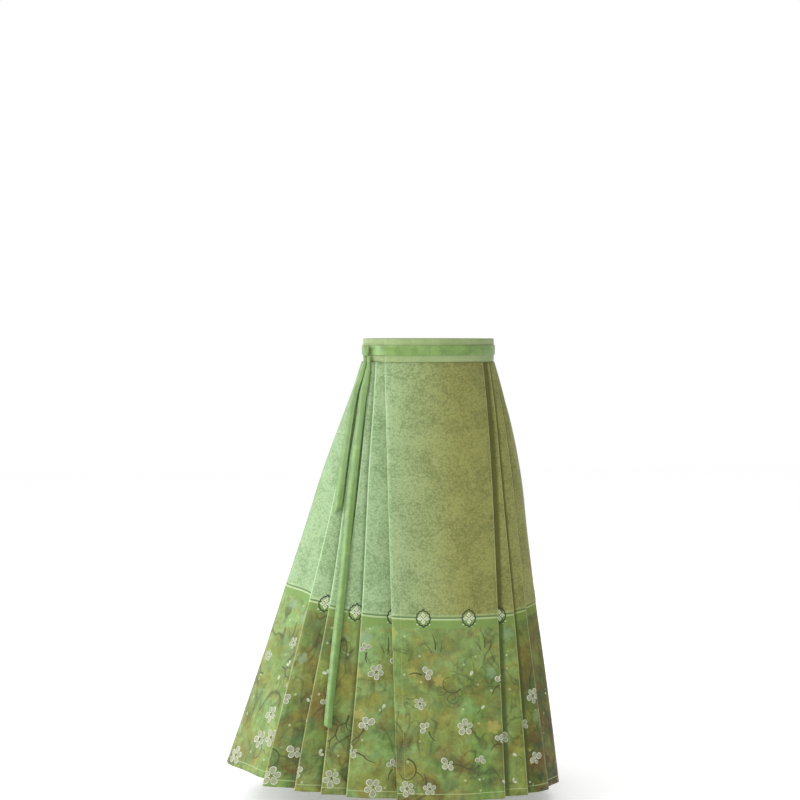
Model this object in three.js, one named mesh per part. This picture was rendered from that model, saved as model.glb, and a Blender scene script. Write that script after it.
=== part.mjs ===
// A pleated wrap skirt of the horse-face kind, in the hollow form that it takes when it is worn.
// Millimetres, +Z up, +X to the right when seen from the front, and the front faces -Y.
// The origin is the middle of the waist, half way up the waistband.
//
// The skirt is two overlapping halves on one waistband. Each half is a flat outer panel, a run of
// knife pleats round one side, and a flat inner panel that the other half's outer panel covers.
// The cloth lies on a ring that widens from the waist to the hem. A place on the cloth is given by
// how far it is down the cloth, how far round the ring, and how far out from it.
import * as THREE from 'three';
import { mergeVertices } from 'three/addons/utils/BufferGeometryUtils.js';

// Driving dimensions
const BAND_HEIGHT = 50;
const BAND_THICKNESS = 2.6;
const BAND_WINDING = 6;      // how much further out the band's outer end lies than its inner end
const BAND_BULGE = 0.4;
const CLOTH_LENGTH = 910;    // from the waistband to the hem, along the cloth
const CLOTH_THICKNESS = 1.2;
const SEAM_GAP = 0.3;
const TOP = -BAND_HEIGHT / 2 - SEAM_GAP;
const SECTIONS = 13;         // rings of points from the waistband to the hem
const CROWDING = 1.3;        // above 1, the rings lie closer together near the waist

// Half axes of the skirt's ring, by the distance down the cloth. Square is the exponent of the
// rounded oval: 2 is an ellipse, and more is fuller at the corners.
const FORM = [
  { down: 0, left: 142, right: 142, front: 105, back: 105, squareLeft: 2.0, squareRight: 2.0 },
  { down: 130, left: 188, right: 180, front: 137, back: 150, squareLeft: 2.0, squareRight: 2.05 },
  { down: 260, left: 233, right: 205, front: 163, back: 180, squareLeft: 2.05, squareRight: 2.1 },
  { down: 390, left: 271, right: 219, front: 186, back: 204, squareLeft: 2.1, squareRight: 2.2 },
  { down: 520, left: 310, right: 232, front: 210, back: 228, squareLeft: 2.2, squareRight: 2.3 },
  { down: 650, left: 350, right: 247, front: 234, back: 252, squareLeft: 2.3, squareRight: 2.4 },
  { down: 780, left: 392, right: 260, front: 258, back: 276, squareLeft: 2.4, squareRight: 2.5 },
  { down: 910, left: 435, right: 270, front: 279, back: 295, squareLeft: 2.45, squareRight: 2.6 },
];

// Folded edges of the pleats, counted from the flat panel of that corner. Waist and hem are the
// edge's distance round the ring from the middle of the front or back. Step is how far the edge
// stands out from the fold behind it at the hem, and under is how far the cloth is tucked there.
const FOLDS = {
  frontLeft: [
    { waist: 135, hem: 212, step: 26, under: 26 },
    { waist: 151, hem: 266, step: 34, under: 28 },
    { waist: 168, hem: 316, step: 38, under: 30 },
    { waist: 184, hem: 382, step: 56, under: 34 },
  ],
  frontRight: [
    { waist: 112, hem: 112, step: 26, under: 24 },
    { waist: 134, hem: 168, step: 24, under: 26 },
    { waist: 156, hem: 232, step: 22, under: 28 },
    { waist: 178, hem: 306, step: 20, under: 30 },
  ],
  backLeft: [
    { waist: 112, hem: 112, step: 26, under: 24 },
    { waist: 134, hem: 186, step: 30, under: 28 },
    { waist: 156, hem: 268, step: 36, under: 30 },
    { waist: 178, hem: 352, step: 48, under: 34 },
  ],
  backRight: [
    { waist: 135, hem: 196, step: 24, under: 24 },
    { waist: 151, hem: 238, step: 24, under: 26 },
    { waist: 168, hem: 280, step: 22, under: 28 },
    { waist: 184, hem: 326, step: 20, under: 30 },
  ],
};
const WAIST_STEP = 6.4;
const WAIST_UNDER = 7;
const FOLD_THICKNESS = 2.1;  // between the middles of two layers at a fold
const SPREAD = 1.22;         // above 1, the folds spread later on the way down

// Flat panels. Reach is the distance from the middle to the free edge, out is that edge's place.
const OUTER = { reach: 112, waistOut: 3.0, hemOut: 8 };
// The inner panel stays flat to a little past the outer one's free edge, and then climbs to its fold.
const INNER = { waistReach: 87, hemReach: 18, waistOut: -3.0, hemOut: -6, cover: 4 };

// The ribbon ties: a loop over the band, the knot at the front left, and two hanging ends
const RIBBON = { width: 22, thickness: 1.2, rest: 1.0, crease: 2.4 };
const KNOT = { arc: 158, width: 26, height: 22, depth: 11, pinch: 0.28 };
// A tail hangs from the knot to its lane, which drifts round the ring as the skirt widens. Over is
// the front left fold that stands highest under it.
const TAIL = { slope: 0.116, lay: 3.2, gathered: 0.45, openRows: 2, row: 45, turned: 0.7, stand: 3.2 };
const LONG_TAIL = { knot: 152, lane: 155, over: 2, to: 772, slant: 2 };
const SHORT_TAIL = { knot: 165, lane: 181, over: 3, to: 330, slant: -7 };

// Colours
const CLOTH = new THREE.MeshStandardMaterial({ color: 0x7f9a5c, roughness: 0.6, metalness: 0 });
const PLEATED = new THREE.MeshStandardMaterial({ color: 0x8aa368, roughness: 0.6, metalness: 0 });
const BAND = new THREE.MeshStandardMaterial({ color: 0x93ad7c, roughness: 0.62, metalness: 0 });
const TIE = new THREE.MeshStandardMaterial({ color: 0x8fae7e, roughness: 0.5, metalness: 0 });

const mix = (a, b, part) => a + (b - a) * part;
const fall = (down) => Math.max(down, 0) / CLOTH_LENGTH;

// A smooth curve through one column of the form's table
function formAt(down, column) {
  const last = FORM.length - 1;
  const at = Math.min(Math.max(down, 0), CLOTH_LENGTH);
  const i = Math.min(FORM.findLastIndex((row) => row.down <= at), last - 1);
  const slope = (k) => {
    const above = FORM[Math.max(k - 1, 0)];
    const below = FORM[Math.min(k + 1, last)];
    return (below[column] - above[column]) / (below.down - above.down);
  };
  const span = FORM[i + 1].down - FORM[i].down;
  const t = (at - FORM[i].down) / span;
  const rise = 3 * t ** 2 - 2 * t ** 3;
  return mix(FORM[i][column], FORM[i + 1][column], rise)
    + slope(i) * span * (t ** 3 - 2 * t ** 2 + t) + slope(i + 1) * span * (t ** 3 - t ** 2);
}

// Height of the cloth on one axis: what it spreads outwards, it loses downwards
function heightAt(down, column) {
  if (down <= 0) return TOP - down;
  const steps = 16;
  let height = TOP;
  for (let k = 0; k < steps; k += 1) {
    const a = down * k / steps;
    const b = down * (k + 1) / steps;
    height -= Math.sqrt((b - a) ** 2 - (formAt(b, column) - formAt(a, column)) ** 2);
  }
  return height;
}

// The skirt's ring at one distance down the cloth, measured along each side from the front middle
class Ring {
  static steps = 240;

  constructor(down) {
    this.down = down;
    this.left = this.traceSide(-1, 'left', 'squareLeft');
    this.right = this.traceSide(1, 'right', 'squareRight');
  }

  traceSide(sign, column, square) {
    const wide = formAt(this.down, column);
    const power = formAt(this.down, square);
    const sideHeight = heightAt(this.down, column);
    const ends = {};
    for (const end of ['front', 'back']) {
      ends[end] = { deep: formAt(this.down, end), height: heightAt(this.down, end) };
    }
    const spots = [];
    let round = 0;
    for (let k = 0; k <= Ring.steps; k += 1) {
      const turn = Math.PI * k / Ring.steps;
      const { deep, height } = turn <= Math.PI / 2 ? ends.front : ends.back;
      const across = Math.sin(turn);
      const along = Math.cos(turn);
      const reach = ((across / wide) ** power + (Math.abs(along) / deep) ** power) ** (-1 / power);
      const spot = new THREE.Vector3(sign * reach * across, -reach * along, 0);
      if (k > 0) round += spot.distanceTo(spots[k - 1].spot);
      spots.push({ spot, round, height: mix(height, sideHeight, across ** 2) });
    }
    return spots;
  }

  half(side) {
    return this[side][Ring.steps].round;
  }

  quarter(side) {
    return this[side][Ring.steps / 2].round;
  }

  // The point at a distance round one side and a distance out from the ring
  at(side, round, out) {
    const spots = this[side];
    let k = spots.findLastIndex((entry) => entry.round <= round);
    k = Math.min(Math.max(k, 0), Ring.steps - 1);
    const t = (round - spots[k].round) / (spots[k + 1].round - spots[k].round);
    const run = this.direction(side, k).lerp(this.direction(side, k + 1), t).normalize();
    const sign = side === 'right' ? 1 : -1;
    const point = spots[k].spot.clone().lerp(spots[k + 1].spot, t);
    point.x += sign * run.y * out;
    point.y -= sign * run.x * out;
    point.z = mix(spots[k].height, spots[k + 1].height, t);
    return point;
  }

  direction(side, k) {
    const spots = this[side];
    const next = spots[Math.min(k + 1, Ring.steps)].spot;
    return next.clone().sub(spots[Math.max(k - 1, 0)].spot).normalize();
  }

  // The point at a signed distance from the middle of the front (+ right) or the back (+ left),
  // so that the back is the front turned half way round
  from(end, arc, out) {
    const near = arc >= 0;
    if (end === 'front') return this.at(near ? 'right' : 'left', Math.abs(arc), out);
    const side = near ? 'left' : 'right';
    return this.at(side, this.half(side) - Math.abs(arc), out);
  }
}

// One fold at one distance down: its edge and root round the ring, and how far out both are
function foldAt(row, down) {
  const edge = mix(row.waist, row.hem, fall(down) ** SPREAD);
  const top = mix(WAIST_STEP, row.step, fall(down)) / 2;
  return { edge, top, root: edge - mix(WAIST_UNDER, row.under, fall(down)), low: -top };
}

// The tucked layer runs from behind the fold's edge back to its root. The piece on each side of
// the seam keeps half of it.
function tuck(fold) {
  const start = { arc: fold.edge, out: fold.top - FOLD_THICKNESS };
  const end = { arc: fold.root, out: fold.low + FOLD_THICKNESS };
  const length = Math.hypot(end.arc - start.arc, end.out - start.out);
  const place = (part) => ({
    arc: mix(start.arc, end.arc, part),
    out: mix(start.out, end.out, part),
  });
  const half = SEAM_GAP / 2 / length;
  return { start, end, before: place(0.5 - half), after: place(0.5 + half) };
}

// A flat outer panel with the fold at its end, from the free edge, in its own end's distances
function outerPanel(corner, down) {
  const fold = foldAt(FOLDS[corner][0], down);
  const folded = tuck(fold);
  const spans = 8;
  const path = [];
  for (let k = 0; k <= spans; k += 1) {
    const part = k / spans;
    const flat = mix(OUTER.waistOut, OUTER.hemOut, fall(down));
    path.push({ arc: mix(-OUTER.reach, fold.edge, part), out: mix(flat, fold.top, part ** 2) });
  }
  path.push(folded.start, folded.before);
  return path;
}

// The flat inner panel that the outer one covers. It lies on the other side of the middle, so its
// distances are turned round before they are used.
function innerPanel(corner, down) {
  const fold = foldAt(FOLDS[corner][0], down);
  const folded = tuck(fold);
  const free = mix(INNER.waistReach, INNER.hemReach, fall(down));
  const flat = mix(INNER.waistOut, INNER.hemOut, fall(down));
  const rise = OUTER.reach + INNER.cover;
  const spans = 6;
  const path = [];
  for (let k = 0; k <= spans; k += 1) path.push({ arc: mix(-free, rise, k / spans), out: flat });
  const climb = 3;
  for (let k = 1; k <= climb; k += 1) {
    path.push({ arc: mix(rise, fold.edge, k / climb), out: mix(flat, fold.top, k / climb) });
  }
  path.push(folded.start, folded.before);
  return path;
}

// The pleats from one panel's seam to the middle of the side
function pleatRun(corner, down, sideMiddle) {
  const folds = FOLDS[corner].map((row) => foldAt(row, down));
  const first = tuck(folds[0]);
  const path = [first.after, first.end, { arc: folds[0].root, out: folds[0].low }];
  const spans = 3;
  for (let i = 1; i < folds.length; i += 1) {
    const behind = folds[i - 1];
    const fold = folds[i];
    for (let k = 1; k <= spans; k += 1) {
      const part = k / spans;
      path.push({ arc: mix(behind.root, fold.edge, part), out: mix(behind.low, fold.top, part) });
    }
    const folded = tuck(fold);
    path.push(folded.start, folded.end, { arc: fold.root, out: fold.low });
  }
  const last = folds[folds.length - 1];
  const rounding = 5;
  for (let k = 1; k <= rounding; k += 1) {
    const part = k / rounding;
    path.push({
      arc: mix(last.root, sideMiddle, part),
      out: last.low * (1 + Math.cos(Math.PI * part)) / 2,
    });
  }
  return path;
}

// The pleats all round one side: the front run and then the back run the other way
function pleats(side, ring) {
  const name = side === 'left' ? 'Left' : 'Right';
  const quarter = ring.quarter(side);
  const half = ring.half(side);
  const front = pleatRun(`front${name}`, ring.down, quarter);
  const back = pleatRun(`back${name}`, ring.down, half - quarter);
  const returned = back.slice(0, -1).reverse().map(({ arc, out }) => ({ arc: half - arc, out }));
  return [...front, ...returned];
}

// Both faces of a wall round a path, with its corners mitred
function thicken(path, thickness) {
  const normals = [];
  for (let i = 1; i < path.length; i += 1) {
    const run = new THREE.Vector2(path[i].arc - path[i - 1].arc, path[i].out - path[i - 1].out);
    run.normalize();
    normals.push(new THREE.Vector2(-run.y, run.x));
  }
  const faces = { over: [], under: [] };
  path.forEach((spot, i) => {
    const before = normals[Math.max(i - 1, 0)];
    const after = normals[Math.min(i, normals.length - 1)];
    const mitre = before.clone().add(after).normalize();
    const reach = thickness / 2 / Math.max(mitre.dot(before), 0.4);
    faces.over.push({ arc: spot.arc + mitre.x * reach, out: spot.out + mitre.y * reach });
    faces.under.push({ arc: spot.arc - mitre.x * reach, out: spot.out - mitre.y * reach });
  });
  return faces;
}

// A closed wall through its sections. Each section is a loop of points in space: along the over
// face, and back along the under face.
function loft(sections) {
  const size = sections[0].length;
  const positions = sections.flat().flatMap((point) => [point.x, point.y, point.z]);
  const index = [];
  const quad = (a, b, c, d) => index.push(a, b, c, a, c, d);
  for (let row = 0; row + 1 < sections.length; row += 1) {
    for (let k = 0; k < size; k += 1) {
      const next = (k + 1) % size;
      const here = row * size;
      quad(here + k, here + next, here + size + next, here + size + k);
    }
  }
  const bottom = (sections.length - 1) * size;
  for (let k = 0; k + 1 < size / 2; k += 1) {
    const back = size - 1 - k;
    quad(k, back, back - 1, k + 1);
    quad(bottom + k, bottom + k + 1, bottom + back - 1, bottom + back);
  }
  const geometry = new THREE.BufferGeometry();
  geometry.setAttribute('position', new THREE.Float32BufferAttribute(positions, 3));
  geometry.setIndex(volume(geometry, index) < 0 ? index.reverse() : index);
  geometry.computeVertexNormals();
  return geometry;
}

// Signed volume of a closed mesh, which is negative when its faces point inwards
function volume(geometry, index) {
  const place = geometry.getAttribute('position');
  const corner = (i) => new THREE.Vector3().fromBufferAttribute(place, index[i]);
  let total = 0;
  for (let i = 0; i < index.length; i += 3) {
    total += corner(i).dot(corner(i + 1).cross(corner(i + 2))) / 6;
  }
  return total;
}

const rings = Array.from({ length: SECTIONS }, (_, i) => (
  new Ring(CLOTH_LENGTH * (i / (SECTIONS - 1)) ** CROWDING)
));

// A cloth wall from the waistband to the hem. pathAt gives its path on a ring, and placeAt turns a
// place on that path into a point.
function clothWall(pathAt, placeAt) {
  return loft(rings.map((ring) => {
    const { over, under } = thicken(pathAt(ring), CLOTH_THICKNESS);
    return [...over, ...under.reverse()].map((spot) => placeAt(ring, spot));
  }));
}

// The waistband winds round once and laps over the front, a little further out all the way
const waist = new Ring(0);
const WAIST_ROUND = waist.half('left') + waist.half('right');
const BAND_TRAVEL = WAIST_ROUND + INNER.waistReach + OUTER.reach;

function bandOut(travel) {
  return mix(-BAND_WINDING / 2, BAND_WINDING / 2, travel / BAND_TRAVEL);
}

// Where a distance travelled from the band's inner end lies round the waist
function bandPoint(travel, out, height) {
  let arc = INNER.waistReach - travel;
  if (arc < -waist.half('left')) arc += WAIST_ROUND;
  return waist.from('front', arc, out).setZ(height);
}

function bandWall(from, to, outAt, thickness, heights) {
  const spans = Math.round((to - from) / 15);
  return loft(heights.map(({ height, bulge }) => {
    const face = (offset) => Array.from({ length: spans + 1 }, (_, k) => {
      const travel = mix(from, to, k / spans);
      return bandPoint(travel, outAt(travel) + bulge + offset, height);
    });
    return [...face(thickness / 2), ...face(-thickness / 2).reverse()];
  }));
}

function bandHeights(width) {
  return [
    { height: -width / 2, bulge: 0 },
    { height: 0, bulge: BAND_BULGE },
    { height: width / 2, bulge: 0 },
  ];
}

function waistband() {
  return bandWall(0, BAND_TRAVEL, bandOut, BAND_THICKNESS, bandHeights(BAND_HEIGHT));
}

// The ribbon lies on whichever layer of the band is outermost, and eases over its free end
const RIBBON_LIFT = (BAND_THICKNESS + RIBBON.thickness) / 2 + RIBBON.rest;
const KNOT_TRAVEL = INNER.waistReach + KNOT.arc;

function ribbonOut(travel) {
  const lap = INNER.waistReach + OUTER.reach;
  const outer = bandOut(WAIST_ROUND + Math.min(travel, lap));
  const ease = 26;
  const part = Math.min(Math.max((travel - lap) / ease, 0), 1);
  return mix(outer, bandOut(Math.max(travel, lap)), part ** 2 * (3 - 2 * part)) + RIBBON_LIFT;
}

// The loop round the band, from one side of the knot to the other
function tieLoop() {
  const from = KNOT_TRAVEL + SEAM_GAP;
  const outAt = (travel) => ribbonOut(travel > WAIST_ROUND ? travel - WAIST_ROUND : travel);
  const to = from + WAIST_ROUND - 2 * SEAM_GAP;
  return bandWall(from, to, outAt, RIBBON.thickness, bandHeights(RIBBON.width));
}

// The knot is one soft lump, pinched round its middle where the ribbon goes in
function tieKnot() {
  const ball = new THREE.SphereGeometry(1, 20, 14);
  ball.deleteAttribute('normal');
  ball.deleteAttribute('uv');
  const geometry = mergeVertices(ball);
  const place = geometry.getAttribute('position');
  const back = ribbonOut(KNOT_TRAVEL) + RIBBON.thickness / 2 + BAND_BULGE + SEAM_GAP;
  const middle = waist.at('left', KNOT.arc, back + KNOT.depth / 2).setZ(0);
  const outward = middle.clone().sub(waist.at('left', KNOT.arc, 0).setZ(0)).normalize();
  const along = new THREE.Vector3(-outward.y, outward.x, 0);
  for (let i = 0; i < place.count; i += 1) {
    const local = new THREE.Vector3().fromBufferAttribute(place, i);
    const pinch = 1 - KNOT.pinch * (1 - Math.abs(local.y)) ** 4;
    const point = middle.clone()
      .addScaledVector(along, local.x * pinch * KNOT.width / 2)
      .addScaledVector(outward, local.z * KNOT.depth / 2);
    place.setXYZ(i, point.x, point.y, local.y * KNOT.height / 2);
  }
  geometry.computeVertexNormals();
  return geometry;
}

// A hanging end of the ribbon: gathered under the knot, then widening, softly folded lengthwise,
// and cut on the slant. It lies on the highest folds under it.
function tieTail(tail) {
  const from = -BAND_HEIGHT / 2 + KNOT.height / 2 + SEAM_GAP;
  const rows = Math.round((tail.to - from) / TAIL.row);
  const sections = [];
  for (let k = 0; k <= rows; k += 1) {
    const down = mix(from, tail.to, k / rows);
    const ring = new Ring(down);
    const open = Math.min(k / TAIL.openRows, 1);
    const turned = Math.max(down, 0) / CLOTH_LENGTH;
    const wide = mix(TAIL.gathered, 1, open) * mix(1, TAIL.turned, turned) * RIBBON.width / 2;
    const crease = RIBBON.crease + TAIL.stand * turned;
    const highest = mix(WAIST_STEP, FOLDS.frontLeft[tail.over].step, fall(down)) / 2;
    const lay = Math.max(highest + TAIL.lay, mix(KNOT.depth / 2 + 1, 0, open));
    const middle = mix(tail.knot, tail.lane + TAIL.slope * Math.max(down, 0), open);
    const path = [
      { arc: middle - wide, out: lay },
      { arc: middle - wide * 0.15, out: lay + crease },
      { arc: middle + wide * 0.45, out: lay + crease / 2 },
      { arc: middle + wide, out: lay },
    ];
    const { over, under } = thicken(path, RIBBON.thickness);
    const slant = tail.slant * Math.max(0, 1 - (rows - k) / TAIL.openRows);
    sections.push([...over, ...under.reverse()].map(({ arc, out }) => {
      const point = ring.at('left', arc, out);
      point.z += slant * (arc - middle) / wide;
      return point;
    }));
  }
  return loft(sections);
}

const skirt = new THREE.Group();

function add(name, geometry, material) {
  const mesh = new THREE.Mesh(geometry, material);
  mesh.name = name;
  skirt.add(mesh);
}

const fromEnd = (end, turned) => (ring, { arc, out }) => ring.from(end, turned ? -arc : arc, out);
const onSide = (side) => (ring, { arc, out }) => ring.at(side, arc, out);

add('waistband', waistband(), BAND);
add('front_panel_outer',
  clothWall((ring) => outerPanel('frontRight', ring.down), fromEnd('front', false)), CLOTH);
add('front_panel_inner',
  clothWall((ring) => innerPanel('frontLeft', ring.down), fromEnd('front', true)), CLOTH);
add('back_panel_outer',
  clothWall((ring) => outerPanel('backLeft', ring.down), fromEnd('back', false)), CLOTH);
add('back_panel_inner',
  clothWall((ring) => innerPanel('backRight', ring.down), fromEnd('back', true)), CLOTH);
add('pleats_left', clothWall((ring) => pleats('left', ring), onSide('left')), PLEATED);
add('pleats_right', clothWall((ring) => pleats('right', ring), onSide('right')), PLEATED);
add('tie_loop', tieLoop(), TIE);
add('tie_knot', tieKnot(), TIE);
add('tie_tail_long', tieTail(LONG_TAIL), TIE);
add('tie_tail_short', tieTail(SHORT_TAIL), TIE);

export default skirt;
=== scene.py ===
"""An embroidered, pleated wrap skirt of the horse-face kind, hollow as it is worn.

Every size is in millimetres until a point goes into a mesh. A place on the cloth is given by how
far it lies across the flat cloth and how far down it lies from the waistband. The cloth hangs on a
ring that widens from the waist to the hem, and the pleats are folded into that ring.
"""

import logging
import math
import random
from bisect import bisect_right
from collections.abc import Callable, Iterable, Sequence
from dataclasses import dataclass, field
from enum import Enum
from functools import lru_cache

import bmesh
import bpy
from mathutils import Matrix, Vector

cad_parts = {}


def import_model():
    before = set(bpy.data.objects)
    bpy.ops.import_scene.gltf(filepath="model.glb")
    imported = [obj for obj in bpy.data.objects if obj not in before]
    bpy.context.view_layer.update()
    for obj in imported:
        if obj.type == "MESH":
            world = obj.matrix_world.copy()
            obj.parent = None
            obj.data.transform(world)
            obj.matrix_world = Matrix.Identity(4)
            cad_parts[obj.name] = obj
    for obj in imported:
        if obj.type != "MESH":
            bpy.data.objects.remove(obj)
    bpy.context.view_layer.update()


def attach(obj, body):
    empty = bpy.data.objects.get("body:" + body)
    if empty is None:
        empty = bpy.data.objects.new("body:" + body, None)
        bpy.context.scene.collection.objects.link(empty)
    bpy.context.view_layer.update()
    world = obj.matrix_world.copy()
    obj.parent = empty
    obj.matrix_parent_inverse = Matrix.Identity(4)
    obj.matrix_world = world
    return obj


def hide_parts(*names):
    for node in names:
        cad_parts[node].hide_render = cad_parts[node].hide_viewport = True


log = logging.getLogger("skirt")

MM = 0.001
CLOTH_LENGTH = 910.0
BAND_HEIGHT = 50.0
SEAM_GAP = 0.3
CLOTH_TOP = -BAND_HEIGHT / 2 - SEAM_GAP
CLOTH_THICKNESS = 0.9
BORDER_DOWN = 541.0
BORDER_RISE = {"left": 34.0, "right": 26.0}
BAND_WINDING = 6.0
BAND_THICKNESS = 2.6
FAR = 99.0
LAYOUT_REACH = 2400.0


class Side(Enum):
    """A side of the skirt, seen from the front."""

    LEFT = "left"
    RIGHT = "right"

    @property
    def other(self) -> "Side":
        """The opposite side."""
        return Side.LEFT if self is Side.RIGHT else Side.RIGHT

    @property
    def sign(self) -> int:
        """1 at the right, where x rises, and -1 at the left."""
        return 1 if self is Side.RIGHT else -1


class End(Enum):
    """The front or the back of the skirt."""

    FRONT = "front"
    BACK = "back"


@dataclass(frozen=True)
class FormRow:
    """Half axes of the skirt's ring at one distance down the cloth, and how square its oval is."""

    down: float
    left: float
    right: float
    front: float
    back: float
    square_left: float
    square_right: float


FORM = (
    FormRow(0, 142, 142, 105, 105, 2.0, 2.0),
    FormRow(130, 188, 180, 137, 150, 2.0, 2.05),
    FormRow(260, 233, 205, 163, 180, 2.05, 2.1),
    FormRow(390, 271, 219, 186, 204, 2.1, 2.2),
    FormRow(520, 310, 232, 210, 228, 2.2, 2.3),
    FormRow(650, 350, 247, 234, 252, 2.3, 2.4),
    FormRow(780, 392, 260, 258, 276, 2.4, 2.5),
    FormRow(910, 435, 270, 279, 295, 2.45, 2.6),
)


@dataclass(frozen=True)
class FoldRow:
    """One folded edge: how far round it lies at the waist and the hem, its step and its tuck."""

    waist: float
    hem: float
    step: float
    under: float
    sway: float = 0.0
    wave: float = 110.0


@dataclass(frozen=True)
class Corner:
    """The pleats between one flat panel and the middle of one side."""

    side: Side
    end: End
    outer: bool
    folds: tuple[FoldRow, ...]


FRONT_LEFT = Corner(Side.LEFT, End.FRONT, False, (
    FoldRow(135, 212, 26, 26, 2.4, 120),
    FoldRow(151, 266, 34, 28, -2.8, 136),
    FoldRow(168, 316, 38, 30, 3.2, 105),
    FoldRow(184, 382, 56, 34, -3.4, 152),
))
FRONT_RIGHT = Corner(Side.RIGHT, End.FRONT, True, (
    FoldRow(112, 112, 26, 24, 1.2, 170),
    FoldRow(134, 168, 24, 26, -2.2, 118),
    FoldRow(156, 232, 22, 28, 2.8, 140),
    FoldRow(178, 306, 20, 30, -2.6, 112),
))
BACK_LEFT = Corner(Side.LEFT, End.BACK, True, (
    FoldRow(112, 112, 26, 24, -1.4, 150),
    FoldRow(134, 186, 30, 28, 2.6, 124),
    FoldRow(156, 268, 36, 30, -3.0, 142),
    FoldRow(178, 352, 48, 34, 3.2, 116),
))
BACK_RIGHT = Corner(Side.RIGHT, End.BACK, False, (
    FoldRow(135, 196, 24, 24, 2.0, 128),
    FoldRow(151, 238, 24, 26, -2.6, 114),
    FoldRow(168, 280, 22, 28, 2.2, 146),
    FoldRow(184, 326, 20, 30, -2.8, 122),
))


def mix(a: float, b: float, part: float) -> float:
    """Returns the value a part of the way from a to b."""
    return a + (b - a) * part


def smooth(part: float) -> float:
    """Returns a part from 0 to 1, eased at both ends."""
    part = min(max(part, 0.0), 1.0)
    return part * part * (3 - 2 * part)


def fall(down: float) -> float:
    """Returns the share of the cloth's length that a distance down it is."""
    return min(max(down / CLOTH_LENGTH, 0.0), 1.0)


def form_at(down: float, column: str) -> float:
    """Reads one column of the form's table on a smooth curve.

    Args:
        down: Distance down the cloth.
        column: A field of FormRow.

    Returns:
        The column's value there.
    """
    last = len(FORM) - 1
    at = min(max(down, 0.0), CLOTH_LENGTH)
    i = min(max(k for k, row in enumerate(FORM) if row.down <= at), last - 1)

    def slope(k: int) -> float:
        """Returns the curve's slope at a row."""
        above, below = FORM[max(k - 1, 0)], FORM[min(k + 1, last)]
        return (getattr(below, column) - getattr(above, column)) / (below.down - above.down)

    span = FORM[i + 1].down - FORM[i].down
    t = (at - FORM[i].down) / span
    level = mix(getattr(FORM[i], column), getattr(FORM[i + 1], column), 3 * t**2 - 2 * t**3)
    start, end = slope(i) * span, slope(i + 1) * span
    return level + start * (t**3 - 2 * t**2 + t) + end * (t**3 - t**2)


def height_at(down: float, column: str) -> float:
    """Works out how high the cloth is on one axis: what it spreads outwards, it loses downwards.

    Args:
        down: Distance down the cloth, which is above its top edge where it is negative.
        column: The axis, as a field of FormRow.

    Returns:
        The height in the part's frame.
    """
    if down <= 0:
        return CLOTH_TOP - down
    steps = 12
    height = CLOTH_TOP
    for k in range(steps):
        a, b = down * k / steps, down * (k + 1) / steps
        spread = form_at(b, column) - form_at(a, column)
        height -= math.sqrt((b - a) ** 2 - spread**2)
    return height


class Ring:
    """The skirt's ring at one distance down the cloth, measured round each side from the front."""

    STEPS = 180

    def __init__(self, down: float) -> None:
        """Traces both sides."""
        self.down = down
        self.traces = {side: self._trace(side) for side in Side}

    def _trace(self, side: Side) -> tuple[list[float], list[Vector], list[Vector]]:
        """Traces one side from the middle of the front to the middle of the back.

        Args:
            side: The side to trace.

        Returns:
            The distance round, the point and the direction of travel at each step.
        """
        wide = form_at(self.down, side.value)
        power = form_at(self.down, f"square_{side.value}")
        side_height = height_at(self.down, side.value)
        ends = {end: (form_at(self.down, end.value), height_at(self.down, end.value)) for end in End}
        points: list[Vector] = []
        rounds = [0.0]
        for k in range(self.STEPS + 1):
            turn = math.pi * k / self.STEPS
            deep, height = ends[End.FRONT if turn <= math.pi / 2 else End.BACK]
            across, along = math.sin(turn), math.cos(turn)
            reach = ((across / wide) ** power + (abs(along) / deep) ** power) ** (-1 / power)
            point = Vector((side.sign * reach * across, -reach * along,
                            mix(height, side_height, across**2)))
            if points:
                rounds.append(rounds[-1] + (point - points[-1]).xy.length)
            points.append(point)
        runs = []
        for k in range(self.STEPS + 1):
            run = points[min(k + 1, self.STEPS)] - points[max(k - 1, 0)]
            runs.append(Vector((run.x, run.y, 0)).normalized())
        return rounds, points, runs

    def half(self, side: Side) -> float:
        """Returns the distance round one side from the middle of the front to that of the back."""
        return self.traces[side][0][-1]

    def quarter(self, side: Side, end: End) -> float:
        """Returns the distance from one end's middle to the middle of the side."""
        front = self.traces[side][0][self.STEPS // 2]
        return front if end is End.FRONT else self.half(side) - front

    def at(self, side: Side, around: float, out: float) -> Vector:
        """Places a point beside the ring.

        Args:
            side: The side that the distance is measured round.
            around: Distance round from the middle of the front.
            out: Distance outwards from the ring.

        Returns:
            The point, in millimetres.
        """
        if around < 0:
            return self.at(side.other, -around, out)
        rounds, points, runs = self.traces[side]
        k = min(max(bisect_right(rounds, around) - 1, 0), self.STEPS - 1)
        t = (around - rounds[k]) / (rounds[k + 1] - rounds[k])
        run = runs[k].lerp(runs[k + 1], t).normalized()
        outward = Vector((run.y, -run.x, 0)) * side.sign
        return points[k].lerp(points[k + 1], t) + outward * out

    def from_end(self, side: Side, end: End, arc: float, out: float) -> Vector:
        """Places a point by its distance from an end's middle towards a side.

        Args:
            side: The side that the distance goes towards, where it isn't negative.
            end: The front or the back.
            arc: Distance from that end's middle.
            out: Distance outwards from the ring.

        Returns:
            The point, in millimetres.
        """
        if end is End.FRONT:
            return self.at(side, arc, out)
        if arc < 0:
            return self.at(side.other, self.half(side.other) + arc, out)
        return self.at(side, self.half(side) - arc, out)


@lru_cache(maxsize=None)
def ring_at(down: float) -> Ring:
    """Returns the ring at a distance down the cloth, kept for the next call."""
    return Ring(down)


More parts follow.
